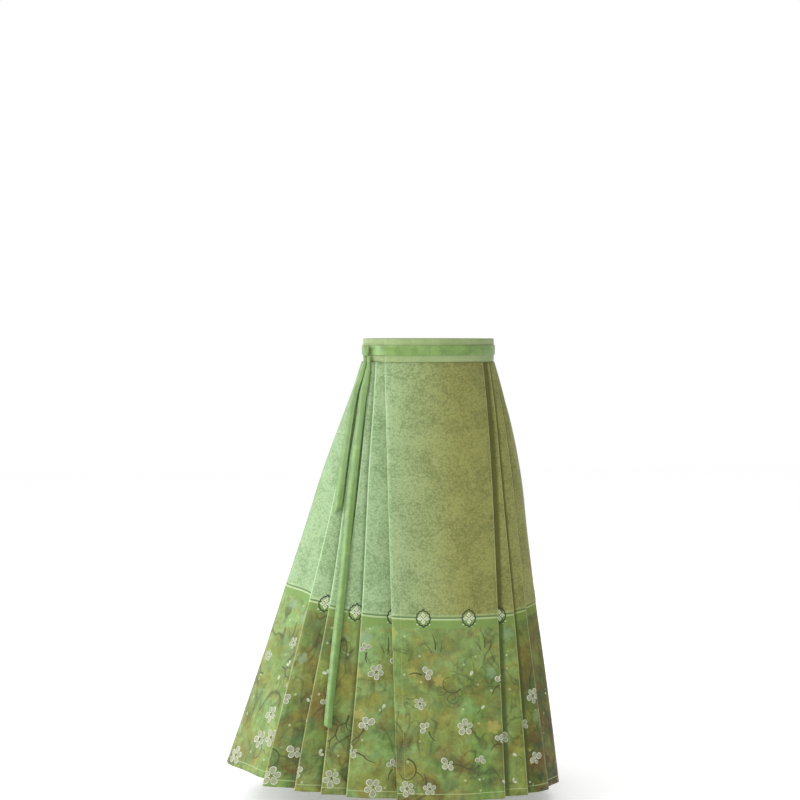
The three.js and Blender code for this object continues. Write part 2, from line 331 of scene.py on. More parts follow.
@dataclass(frozen=True)
class Folding:
    """How the cloth is folded: sizes that every pleat shares."""

    waist_step: float = 6.4
    waist_under: float = 7.0
    layers: float = 2.1
    spread: float = 1.22
    face_spans: int = 9
    turn_spans: int = 4
    tuck_spans: int = 4
    gap_spans: int = 26
    belly: float = 1.6
    tuck_lead: float = 0.02

    def fold(self, row: FoldRow, down: float) -> "Fold":
        """Returns one fold at a distance down the cloth."""
        edge = mix(row.waist, row.hem, fall(down) ** self.spread)
        edge += row.sway * math.sin(down / row.wave) * smooth(down / 260)
        top = mix(self.waist_step, row.step, fall(down)) / 2
        root = edge - mix(self.waist_under, row.under, fall(down))
        return Fold(edge, root, top, self.layers / 2)


FOLDING = Folding()


@dataclass(frozen=True)
class Fold:
    """A fold's edge and root round the ring, how far out its edge is, and its bend's radius."""

    edge: float
    root: float
    top: float
    radius: float

    @property
    def tuck_start(self) -> tuple[float, float]:
        """The start of the tucked layer, behind the edge."""
        return self.edge - self.radius, self.top - 2 * self.radius

    @property
    def tuck_end(self) -> tuple[float, float]:
        """The end of the tucked layer, at the root."""
        return self.root + self.radius, -self.top + 2 * self.radius

    @property
    def tuck_length(self) -> float:
        """The length of the tucked layer."""
        return math.dist(self.tuck_start, self.tuck_end)

    @property
    def bend(self) -> float:
        """The length of cloth round a bend."""
        return math.pi * self.radius

    def turn(self, spans: int) -> list[tuple[float, float]]:
        """Returns the bend round the edge, after its first point."""
        middle = (self.edge - self.radius, self.top - self.radius)
        return self._bend(middle, math.pi / 2, -math.pi / 2, spans)

    def root_turn(self, spans: int) -> list[tuple[float, float]]:
        """Returns the bend round the root, after its first point."""
        middle = (self.root + self.radius, -self.top + self.radius)
        return self._bend(middle, math.pi / 2, 3 * math.pi / 2, spans)

    def _bend(
        self, middle: tuple[float, float], start: float, end: float, spans: int
    ) -> list[tuple[float, float]]:
        """Returns points on an arc, after its first one."""
        angles = (mix(start, end, k / spans) for k in range(1, spans + 1))
        return [
            (middle[0] + self.radius * math.cos(a), middle[1] + self.radius * math.sin(a))
            for a in angles
        ]


@dataclass
class Spot:
    """A place on the folded cloth: round and out from the ring, and across the flat cloth."""

    arc: float
    out: float
    flat: float = 0.0
    edge: float = FAR
    cover: float = FAR
    rise: float = 0.0
    seen: bool = False


class Anchor(Enum):
    """Which end of a stretch keeps its place in the flat cloth as the skirt widens."""

    START = "start"
    END = "end"


@dataclass
class Stretch:
    """A run of cloth between two bends."""

    spots: list[Spot]
    anchor: Anchor
    flat: float = 0.0

    def lay_flat(self) -> None:
        """Gives each spot its place across the flat cloth, from the anchored end."""
        lengths = [0.0]
        for a, b in zip(self.spots, self.spots[1:]):
            lengths.append(lengths[-1] + math.hypot(b.arc - a.arc, b.out - a.out))
        base = self.flat - (lengths[-1] if self.anchor is Anchor.END else 0.0)
        for spot, length in zip(self.spots, lengths):
            spot.flat = base + length


@dataclass(frozen=True)
class PanelCut:
    """Sizes of the flat panels: where their free edges lie, and how far out."""

    reach: float = 112.0
    waist_out: float = 3.0
    hem_out: float = 8.0
    inner_waist_reach: float = 87.0
    inner_hem_reach: float = 18.0
    inner_waist_out: float = -3.0
    inner_hem_out: float = -6.0
    inner_cover: float = 4.0
    spans: int = 30


PANEL = PanelCut()


class Pleating:
    """Works out the folded path of the cloth for one corner."""

    def __init__(self, corner: Corner) -> None:
        """Keeps the corner and finds where each edge lies in the flat cloth."""
        self.corner = corner
        self.flats = self._flat_edges()

    def folds(self, down: float) -> list[Fold]:
        """Returns the corner's folds at a distance down the cloth."""
        return [FOLDING.fold(row, down) for row in self.corner.folds]

    def _flat_edges(self) -> list[float]:
        """Adds up the cloth at the hem: each edge's place, and then that of the side's middle."""
        first = self.corner.folds[0].hem
        flats = [first + (PANEL.reach if self.corner.outer else PANEL.inner_hem_reach)]
        folds = self.folds(CLOTH_LENGTH)
        side = ring_at(CLOTH_LENGTH).quarter(self.corner.side, self.corner.end)
        ends = [*((fold.edge, fold.top) for fold in folds[1:]), (side, 0.0)]
        for behind, (edge, top) in zip(folds, ends):
            face = math.hypot(edge - behind.root, top + behind.top)
            flats.append(flats[-1] + behind.tuck_length + 2 * behind.bend + face)
        return flats

    def _tuck(self, fold: Fold, start: float, end: float) -> list[Spot]:
        """Returns part of the tucked layer, from one share of its length to another."""
        a, b = fold.tuck_start, fold.tuck_end
        spans = FOLDING.tuck_spans
        parts = (mix(start, end, k / spans) for k in range(spans + 1))
        return [Spot(mix(a[0], b[0], p), mix(a[1], b[1], p)) for p in parts]

    def panel(self, down: float) -> list[Stretch]:
        """Lays out the flat panel, from its free edge to the seam in its first tuck.

        Args:
            down: Distance down the cloth.

        Returns:
            The stretches of cloth in order.
        """
        fold = self.folds(down)[0]
        outer = self.corner.outer
        rest = mix(
            PANEL.waist_out if outer else PANEL.inner_waist_out,
            PANEL.hem_out if outer else PANEL.inner_hem_out,
            fall(down),
        )
        free = PANEL.reach if outer else mix(PANEL.inner_waist_reach, PANEL.inner_hem_reach, fall(down))
        lip = fold.edge - fold.radius
        rise = PANEL.reach + PANEL.inner_cover
        spots = []
        for k in range(PANEL.spans + 1):
            arc = mix(-free, lip, k / PANEL.spans)
            part = (arc + free) / (lip + free) if outer else max((arc - rise) / (lip - rise), 0.0)
            climb = part**2 if outer else part
            edge = min(lip - arc, arc + free) if outer else lip - arc
            spots.append(Spot(arc, mix(rest, fold.top, climb), edge=edge, seen=outer or arc > PANEL.reach))
        face = Stretch(spots, Anchor.END, self.flats[0])
        half = 0.5 - SEAM_GAP / 2 / fold.tuck_length
        tuck = Stretch(self._tuck(fold, FOLDING.tuck_lead, half), Anchor.START, self.flats[0] + fold.bend)
        return [face, self._bend(fold, self.flats[0]), tuck]

    @staticmethod
    def _bend(fold: Fold, flat: float) -> Stretch:
        """Lays out the bend round a fold's edge, which has a place in the flat cloth."""
        spots = [Spot(*point, edge=0.0, seen=True) for point in fold.turn(FOLDING.turn_spans)]
        return Stretch(spots, Anchor.START, flat + 1)

    def pleats(self, down: float) -> list[Stretch]:
        """Lays out the pleats, from the seam in the first tuck to the middle of the side.

        Args:
            down: Distance down the cloth.

        Returns:
            The stretches of cloth in order.
        """
        folds = self.folds(down)
        stretches: list[Stretch] = []
        for i, fold in enumerate(folds):
            flat = self.flats[i]
            part, tuck_flat = FOLDING.tuck_lead, flat + fold.bend
            if i:
                stretches += [self._face(folds[i - 1], fold, flat), self._bend(fold, flat)]
            else:
                part = 0.5 + SEAM_GAP / 2 / fold.tuck_length
                tuck_flat += fold.tuck_length * part
            stretches.append(Stretch(self._tuck(fold, part, 1.0), Anchor.START, tuck_flat))
            roots = [Spot(*point) for point in fold.root_turn(FOLDING.turn_spans)[:-1]]
            stretches.append(Stretch(roots, Anchor.START, flat + fold.bend + fold.tuck_length + 1))
        stretches.append(self._gap(folds[-1], down))
        return stretches

    def _face(self, behind: Fold, fold: Fold, flat: float) -> Stretch:
        """Lays out one pleat's face, which rises from the root behind it to its own edge."""
        start = (behind.root + behind.radius, -behind.top)
        end = (fold.edge - fold.radius, fold.top)
        spans = FOLDING.face_spans
        spots = []
        for k in range(spans + 1):
            part = k / spans
            arc = mix(start[0], end[0], part)
            belly = FOLDING.belly * math.sin(math.pi * part) * smooth(fold.top / 12)
            spots.append(Spot(arc, mix(start[1], end[1], part) + belly, edge=end[0] - arc,
                              cover=arc - behind.edge, seen=arc > behind.edge))
        return Stretch(spots, Anchor.END, flat)

    def _gap(self, last: Fold, down: float) -> Stretch:
        """Lays out the smooth cloth from the last root to the middle of the side."""
        side = ring_at(down).quarter(self.corner.side, self.corner.end)
        start = last.root + last.radius
        spots = []
        for k in range(FOLDING.gap_spans + 1):
            part = k / FOLDING.gap_spans
            arc = mix(start, side, part)
            out = -last.top * (1 + math.cos(math.pi * part)) / 2
            # The smooth cloth gets less painted shade beside the last fold than a pleat's face does.
            cover = arc - last.edge + 5
            spots.append(Spot(arc, out, cover=cover, seen=arc > last.edge))
        return Stretch(spots, Anchor.END, self.flats[-1])


@dataclass(frozen=True)
class Crease:
    """A soft trough or ridge in the cloth, given one by one.

    It lies at a place across the flat cloth at its top and another at its foot, and is as wide and
    as deep as stated. A negative depth is a trough.
    """

    flat: float
    foot: float
    top: float
    bottom: float
    width: float
    depth: float

    def lift(self, flat: float, down: float) -> float:
        """Returns how far the crease moves a place on the cloth outwards."""
        if not self.top < down < self.bottom + 1:
            return 0.0
        part = (down - self.top) / (self.bottom - self.top)
        across = (flat - mix(self.flat, self.foot, part)) / self.width
        if abs(across) >= 1:
            return 0.0
        open_hem = self.bottom >= CLOTH_LENGTH
        fade = smooth(part * 2.2) if open_hem else math.sin(math.pi * part) ** 1.2
        return self.depth * fade * (1 + math.cos(math.pi * across)) / 2


@dataclass(frozen=True)
class Run:
    """A part of a cloth piece: one corner's flat panel or its pleats."""

    pleating: Pleating
    panel: bool
    total: float

    @property
    def sign(self) -> int:
        """Whether the run's own flat distance grows with the half's (1) or against it (-1)."""
        corner = self.pleating.corner
        return 1 if (corner.side is Side.RIGHT) == (corner.end is End.FRONT) else -1

    def row(self, down: float, creases: Sequence[Crease]) -> tuple[list[Spot], list[Vector]]:
        """Lays out the run at a distance down the cloth.

        Args:
            down: Distance down the cloth.
            creases: Soft creases of the half.

        Returns:
            The spots, with their places in the half's flat cloth rising, and their points.
        """
        corner = self.pleating.corner
        base = 0.0 if corner.end is End.FRONT else -self.sign * self.total
        ring = ring_at(down)
        spots: list[Spot] = []
        for stretch in self.pleating.panel(down) if self.panel else self.pleating.pleats(down):
            stretch.lay_flat()
            spots.extend(stretch.spots)
        quarter = ring.quarter(corner.side, corner.end)
        window = smooth(down / 380) * smooth((CLOTH_LENGTH - down) / 270)
        for spot in spots:
            spot.flat = base + self.sign * spot.flat
            spot.out += sum(crease.lift(spot.flat, down) for crease in creases)
            spot.rise = BORDER_RISE[corner.side.value] * smooth((spot.arc / quarter - 0.3) / 0.7) * window
        if self.sign < 0:
            spots.reverse()
        return spots, [ring.from_end(corner.side, corner.end, spot.arc, spot.out) for spot in spots]


Places = dict[bmesh.types.BMVert, tuple[int, int]]


def start_grid(columns: int, rows: int, *attributes: str) -> tuple[bmesh.types.BMesh, Places]:
    """Starts a piece of cloth as a grid with a UV map for its flat places.

    Args:
        columns: How many columns of faces it has.
        rows: How many rows of faces it has.
        *attributes: Names of the numbers that each vertex carries.

    Returns:
        The mesh, and each vertex's column and row, counted from the top.
    """
    bm = bmesh.new()
    bmesh.ops.create_grid(bm, x_segments=columns, y_segments=rows, size=0.5)
    bm.loops.layers.uv.new("flat")
    for name in attributes:
        bm.verts.layers.float.new(name)
    return bm, {vert: (round((vert.co.x + 0.5) * columns), rows - round((vert.co.y + 0.5) * rows))
                for vert in bm.verts}


def write_flat(bm: bmesh.types.BMesh, place: Places,
               flat_at: Callable[[int, int], tuple[float, float]]) -> None:
    """Writes each vertex's place in the flat cloth, given in millimetres, as its UV."""
    layer = bm.loops.layers.uv["flat"]
    for face in bm.faces:
        for loop in face.loops:
            across, down = flat_at(*place[loop.vert])
            loop[layer].uv = (across * MM, down * MM)


class ClothGrid:
    """A cloth piece as a grid of points: across the flat cloth, and down from the waistband."""

    def __init__(self, runs: Sequence[Run], creases: Sequence[Crease] = (), step: float = 7.0) -> None:
        """Works out the grid's points.

        Args:
            runs: The runs of cloth that follow each other in the piece.
            creases: Soft creases on the piece.
            step: Distance between two rows.
        """
        self.rows = round(CLOTH_LENGTH / step)
        self.step = CLOTH_LENGTH / self.rows
        self.points: list[list[Vector]] = []
        self.spots: list[list[Spot]] = []
        for j in range(self.rows + 1):
            spots: list[Spot] = []
            points: list[Vector] = []
            for run in runs:
                new_spots, new_points = run.row(self.step * j, creases)
                start = 1 if spots else 0
                spots.extend(new_spots[start:])
                points.extend(new_points[start:])
            self.points.append(points)
            self.spots.append(spots)
        self.flats = [self._rising([spot.flat for spot in spots]) for spots in self.spots]
        self.columns = len(self.points[0]) - 1
        self.normals = [
            [self._normal(j, k) for k in range(self.columns + 1)] for j in range(self.rows + 1)
        ]

    @staticmethod
    def _rising(values: list[float]) -> list[float]:
        """Returns the values with each at least a hair above the one before it."""
        rising = [values[0]]
        for value in values[1:]:
            rising.append(max(value, rising[-1] + 0.01))
        return rising

    def _normal(self, j: int, k: int) -> Vector:
        """Works out the outward direction at one point of the grid."""
        above, below = self.points[max(j - 1, 0)][k], self.points[min(j + 1, self.rows)][k]
        row = self.points[j]
        along = row[min(k + 1, self.columns)] - row[max(k - 1, 0)]
        return (below - above).cross(along).normalized()

    def _across(self, j: int, flat: float) -> tuple[int, float]:
        """Finds the column before a place in the flat cloth, and the share of the way past it."""
        flats = self.flats[j]
        k = min(max(bisect_right(flats, flat) - 1, 0), self.columns - 1)
        return k, min(max((flat - flats[k]) / (flats[k + 1] - flats[k]), 0.0), 1.0)

    def place(self, flat: float, down: float, lift: float) -> Vector:
        """Places a point on or above the cloth.

        Args:
            flat: Distance across the half's flat cloth.
            down: Distance down the cloth.
            lift: Distance outwards from the middle of the cloth.

        Returns:
            The point, in millimetres.
        """
        at = min(max(down / self.step, 0.0), self.rows - 1e-6)
        j = int(at)
        found = []
        for row in (j, j + 1):
            k, t = self._across(row, flat)
            point = self.points[row][k].lerp(self.points[row][k + 1], t)
            normal = self.normals[row][k].lerp(self.normals[row][k + 1], t)
            found.append((point, normal))
        part = at - j
        normal = found[0][1].lerp(found[1][1], part).normalized()
        return found[0][0].lerp(found[1][0], part) + normal * lift

    def shows(self, flat: float, down: float, margin: float = 0.0) -> bool:
        """Returns whether a place, or one within a margin of it, isn't tucked away."""
        j = min(max(round(down / self.step), 0), self.rows)
        flats = self.flats[j]
        low = max(bisect_right(flats, flat - margin) - 1, 0)
        high = min(bisect_right(flats, flat + margin), self.columns)
        if flat < flats[0] - margin or flat > flats[-1] + margin:
            return False
        return any(spot.seen for spot in self.spots[j][low:high + 1])

    def span(self) -> tuple[float, float]:
        """Returns the flat cloth's extent across the piece at the hem."""
        return self.flats[-1][0], self.flats[-1][-1]

    def cut(self) -> tuple[float, float]:
        """Returns the cloth's width at the hem and its area, in metres."""
        widths = [
            sum((b - a).length for a, b in zip(row, row[1:])) * MM for row in self.points
        ]
        area = sum((a + b) / 2 for a, b in zip(widths, widths[1:])) * self.step * MM
        return widths[-1], area

    def mesh(self) -> bmesh.types.BMesh:
        """Builds the cloth as a grid in the flat, moved to where it hangs.

        Returns:
            The mesh, with its flat places as UVs, and with its distances to a fold's edge and to the
            pleat that covers it as attributes.
        """
        bm, place = start_grid(self.columns, self.rows, "edge", "cover")
        edge_layer, cover_layer = (bm.verts.layers.float[name] for name in ("edge", "cover"))
        for vert, (k, j) in place.items():
            spot = self.spots[j][k]
            vert.co = self.points[j][k] * MM
            # The material paints a highlight along a fold's edge and shade where a pleat covers the cloth,
            # from these distances.
            vert[edge_layer] = min(spot.edge, FAR)
            vert[cover_layer] = min(max(spot.cover, -40.0), FAR)
        write_flat(bm, place, lambda k, j: (self.flats[j][k], j * self.step + self.spots[j][k].rise))
        return bm

    def border(self, flat: float) -> float:
        """Returns how far down the border line lies at a place across the flat cloth."""
        j = round(BORDER_DOWN / self.step)
        k, t = self._across(j, flat)
        return BORDER_DOWN - mix(self.spots[j][k].rise, self.spots[j][k + 1].rise, t)


def to_object(name: str, bm: bmesh.types.BMesh, materials: Iterable[bpy.types.Material]) -> bpy.types.Object:
    """Makes a finished mesh an object in the scene.

    Args:
        name: The object's name.
        bm: The mesh, which is freed.
        materials: The materials for its slots.

    Returns:
        The object.
    """
    mesh = bpy.data.meshes.new(name)
    bm.to_mesh(mesh)
    bm.free()
    for material in materials:
        mesh.materials.append(material)
    mesh.shade_smooth()
    obj = bpy.data.objects.new(name, mesh)
    bpy.context.collection.objects.link(obj)
    return obj


def solidify(obj: bpy.types.Object, thickness: float) -> None:
    """Gives a cloth piece its thickness, half to each side."""
    wall = obj.modifiers.new("thickness", "SOLIDIFY")
    wall.thickness = thickness * MM
    wall.offset = 0.0
    wall.use_even_offset = False


Colour = tuple[float, float, float, float]


def colour(red: int, green: int, blue: int) -> Colour:
    """Turns a screen colour from 0 to 255 into a linear one."""
    def linear(value: int) -> float:
        """Returns one channel's linear value."""
        part = value / 255
        return part / 12.92 if part <= 0.04045 else ((part + 0.055) / 1.055) ** 2.4
    return linear(red), linear(green), linear(blue), 1.0


Socket = bpy.types.NodeSocket
Takes = dict[str, tuple[str, object]]


class Palette:
    """Adds nodes to one shader tree or group, and joins them."""

    def __init__(self, tree: bpy.types.NodeTree) -> None:
        """Keeps the tree."""
        self.tree = tree

    def add(self, kind: str, values: dict[str, object] | None = None, **settings: object) -> bpy.types.Node:
        """Adds one node.

        Args:
            kind: The node's type without its ShaderNode prefix.
            values: Input values, or sockets to join to them, by input name.
            **settings: The node's own settings.

        Returns:
            The node.
        """
        node = self.tree.nodes.new(f"ShaderNode{kind}")
        for name, value in settings.items():
            setattr(node, name, value)
        self.fill(node, values or {})
        return node

    def fill(self, node: bpy.types.Node, values: dict[str, object]) -> None:
        """Joins sockets to a node's inputs, or sets the inputs, by input name."""
        for name, value in values.items():
            self.feed(node.inputs[name], value)

    def feed(self, socket: Socket, value: object) -> None:
        """Joins a socket to an input, or sets its value."""
        if isinstance(value, Socket):
            self.tree.links.new(value, socket)
        else:
            socket.default_value = value

    def sum_of(self, kind: str, operation: str, values: Iterable[object]) -> bpy.types.Node:
        """Adds a Math or VectorMath node that works on the values in order."""
        node = self.add(kind, operation=operation)
        for socket, value in zip(node.inputs, values):
            self.feed(socket, value)
        return node

    def math(self, operation: str, *values: object) -> Socket:
        """Returns the result of a sum on up to three values."""
        return self.sum_of("Math", operation, values).outputs[0]

    def total(self, base: object, *parts: tuple[object, object]) -> Socket:
        """Returns a base value plus each part's value times its weight."""
        for value, weight in parts:
            base = self.math("MULTIPLY_ADD", value, weight, base)
        return base

    def times(self, first: object, *others: object) -> Socket:
        """Returns the product of the values."""
        for other in others:
            first = self.math("MULTIPLY", first, other)
        return first

    def flip(self, value: object) -> Socket:
        """Returns 1 less the value."""
        return self.math("SUBTRACT", 1.0, value)

    def blend(self, share: object, first: object, second: object, mode: str = "MIX") -> Socket:
        """Returns a mix of two colours."""
        node = self.add("Mix", data_type="RGBA", blend_type=mode, clamp_factor=True)
        for index, value in ((0, share), (6, first), (7, second)):
            self.feed(node.inputs[index], value)
        return node.outputs[2]

    def noise(self, vector: object, scale: float, detail: float = 3.0, rough: float = 0.55,
              warp: float = 0.0) -> Socket:
        """Returns a noise value at a scale for each metre."""
        return self.add("TexNoise", {
            "Vector": vector, "Scale": scale, "Detail": detail, "Roughness": rough, "Distortion": warp,
        }).outputs["Fac"]

    def cells(self, vector: object, scale: float, loose: float) -> bpy.types.Node:
        """Adds scattered cells at a scale for each metre."""
        return self.add("TexVoronoi", {"Vector": vector, "Scale": scale, "Randomness": loose},
                        voronoi_dimensions="2D", feature="F1")

    def step(self, value: object, low: float, high: float) -> Socket:
        """Returns 0 at low and before it, 1 at high and past it, and a smooth rise between them."""
        return self.add("MapRange", {"Value": value, "From Min": low, "From Max": high},
                        interpolation_type="SMOOTHSTEP").outputs["Result"]

    def grey(self, value: object) -> Socket:
        """Returns a grey of the value's brightness."""
        return self.add("CombineColor", {"Red": value, "Green": value, "Blue": value}).outputs[0]

    def band(self, value: object, middle: float, half: float, soft: float) -> Socket:
        """Returns 1 within half of the middle, and 0 beyond its soft edge."""
        away = self.math("ABSOLUTE", self.math("SUBTRACT", value, middle))
        return self.flip(self.step(away, half, half + soft))

    def shift(self, vector: object, place: Sequence[float], scale: Sequence[float] = (1, 1, 1)) -> Socket:
        """Returns a vector moved and scaled."""
        return self.add("Mapping", {
            "Vector": vector, "Location": tuple(place), "Scale": tuple(scale)}).outputs[0]

    def bump(self, height: object, strength: float, distance: float) -> Socket:
        """Returns the normals that a height gives."""
        return self.add("Bump", {
            "Height": height, "Strength": strength, "Distance": distance}).outputs["Normal"]


def new_material(name: str) -> tuple[bpy.types.Material, Palette, bpy.types.Node]:
    """Starts a material, and returns it with its palette and its shader."""
    material = bpy.data.materials.new(name)
    material.use_nodes = True
    return material, Palette(material.node_tree), material.node_tree.nodes["Principled BSDF"]


def group(name: str, takes: Takes, gives: dict[str, str],
          build: Callable[[Palette, bpy.types.Node], dict[str, Socket]]) -> bpy.types.NodeTree:
    """Builds a shader group once.

    Args:
        name: The group's name.
        takes: Each input's type and first value, by name.
        gives: Each output's type, by name.
        build: Adds the group's nodes, and returns a socket for each output.

    Returns:
        The group.
    """
    tree = bpy.data.node_groups.get(name)
    if tree:
        return tree
    tree = bpy.data.node_groups.new(name, "ShaderNodeTree")
    for label, (kind, value) in takes.items():
        socket = tree.interface.new_socket(label, in_out="INPUT", socket_type=f"NodeSocket{kind}")
        if value is not None:
            socket.default_value = value
    for label, kind in gives.items():
        tree.interface.new_socket(label, in_out="OUTPUT", socket_type=f"NodeSocket{kind}")
    start = tree.nodes.new("NodeGroupInput")
    end = tree.nodes.new("NodeGroupOutput")
    for label, socket in build(Palette(tree), start).items():
        tree.links.new(socket, end.inputs[label])
    return tree


def weave_group() -> bpy.types.NodeTree:
    """Builds the fine weave: crossing threads and the pebbly figure of a jacquard."""

    def build(kit: Palette, start: bpy.types.Node) -> dict[str, Socket]:
        """Adds the weave's nodes."""
        place = start.outputs["Place"]
        split = kit.add("SeparateXYZ", {"Vector": place}).outputs
        across, down = (kit.math("SINE", kit.times(split[axis], start.outputs["Threads"])) for axis in "XY")
        pebbles = kit.add("TexVoronoi", {"Vector": place, "Scale": start.outputs["Pebbles"]},
                          feature="SMOOTH_F1")
        clouds = kit.noise(place, 84.0, 3.0, 0.55, 0.9)
        grain = kit.noise(place, 400.0, 3.0, 0.7, 0.6)
        raised = kit.times(kit.flip(pebbles.outputs["Distance"]), kit.total(0.4, (clouds, 1.1)))
        height = kit.total(0.0, (kit.times(across, down), 0.10), (raised, 0.55), (grain, 0.5))
        drift = kit.noise(kit.shift(place, (4.4, 1.1, 0.0)), 16.0, 4.0, 0.6, 0.8)
        bloom = kit.noise(kit.shift(place, (8.1, 3.7, 0.0)), 13.0, 1.0, 0.5)
        petals = kit.step(bloom, 0.49, 0.53)
        tone = kit.total(0.0, (raised, 0.30), (petals, 0.05), (grain, 0.52), (drift, 0.17))
        return {"Height": height, "Tone": tone}

    takes: Takes = {"Place": ("Vector", None), "Threads": ("Float", 9000.0), "Pebbles": ("Float", 250.0)}
    return group("Jacquard weave", takes, {"Height": "Float", "Tone": "Float"}, build)


def watercolour_group() -> bpy.types.NodeTree:
    """Builds the print's ground: washes that run into each other, darker towards the hem."""

    def build(kit: Palette, start: bpy.types.Node) -> dict[str, Socket]:
        """Adds the washes' nodes."""
        given = start.outputs
        place, depth, browner, paler = (given[name] for name in ("Place", "Depth", "Browner", "Paler"))
        large = kit.noise(place, 9.0, 4.0, 0.6, 0.3)
        middle = kit.noise(kit.shift(place, (3.1, 1.7, 0.0)), 20.0, 5.0, 0.62, 0.3)
        blot = kit.noise(kit.shift(place, (7.7, 4.2, 0.0)), 12.0, 6.0, 0.64, 0.5)
        warm = kit.noise(kit.shift(place, (1.3, 9.4, 0.0)), 26.0, 5.0, 0.6, 0.3)
        fine = kit.noise(place, 90.0, 6.0, 0.7, 0.4)
        brush = kit.noise(kit.shift(place, (0.4, 6.1, 0.0), (1.0, 0.28, 1.0)), 130.0, 4.0, 0.6, 0.5)
        ground = kit.blend(kit.step(large, 0.34, 0.64), given["Leaf"], given["Olive"])
        top = kit.times(kit.flip(kit.step(depth, 0.05, 0.36)), kit.flip(browner))
        washed = kit.total(kit.step(kit.total(middle, (paler, 0.22)), 0.44, 0.74), (top, 0.5))
        ground = kit.blend(kit.times(washed, kit.total(0.9, (depth, -0.2))), ground, given["Pale"])
        ground = kit.blend(kit.times(kit.step(warm, 0.48, 0.72), 0.62), ground, given["Ochre"])
        bark = kit.blend(kit.step(warm, 0.42, 0.56), given["Moss"], given["Bark"])
        dark = kit.times(kit.step(kit.total(blot, (browner, 0.26)), 0.511, 0.771),
                         kit.total(0.3, (depth, 0.6), (browner, 0.3)), 0.86)
        light = kit.total(0.14, (fine, 1.10), (brush, 0.56))
        return {"Color": kit.blend(1.0, kit.blend(dark, ground, bark), kit.grey(light), "MULTIPLY")}

    takes: Takes = {
        "Place": ("Vector", None), "Depth": ("Float", 0.5),
        "Browner": ("Float", 0.4), "Paler": ("Float", 0.2),
        **dict.fromkeys(("Leaf", "Pale", "Olive", "Bark", "Ochre", "Moss"), ("Color", None)),
    }
    return group("Watercolour ground", takes, {"Color": "Color"}, build)


@dataclass(frozen=True)
class BorderBand:
    """A band woven across the cloth: its middle below the border line, half its width, its soft edge."""

    middle: float
    half: float
    soft: float

    def mask(self, kit: Palette, down: Socket) -> Socket:
        """Returns 1 on the band and 0 off it."""
        return kit.band(down, (BORDER_DOWN + self.middle) * MM, self.half * MM, self.soft * MM)


STRIPE = BorderBand(10.5, 7.5, 2.6)
GROOVE = BorderBand(-2.2, 1.8, 1.0)
UPPER_LINE = BorderBand(-6.2, 1.2, 3.0)
LOWER_LINE = BorderBand(0.8, 1.4, 0.9)
HEM_LINE = BorderBand(CLOTH_LENGTH - 14 - BORDER_DOWN, 0.5, 0.8)

# A place across the flat cloth, and how much browner and how much paler the print is there.
PRINT_DRIFT = (
    (-1985, 0.30, 0.30), (-1600, 0.55, 0.10), (-1330, 0.30, 0.40), (-1000, 0.20, 0.35), (-760, 0.16, 0.45),
    (-665, 0.25, 0.35), (-640, 0.58, 0.05), (-500, 0.62, 0.00), (-420, 0.45, 0.20), (-345, 0.45, 0.20),
    (-240, 0.15, 0.55), (-120, 0.30, 0.30), (0, 0.42, 0.20), (110, 0.36, 0.16), (230, 0.40, 0.15),
    (320, 0.15, 0.60), (350, 0.25, 0.45), (450, 0.70, 0.05), (620, 0.85, 0.00), (840, 0.80, 0.00),
    (1150, 0.45, 0.15), (1586, 0.30, 0.30),
)


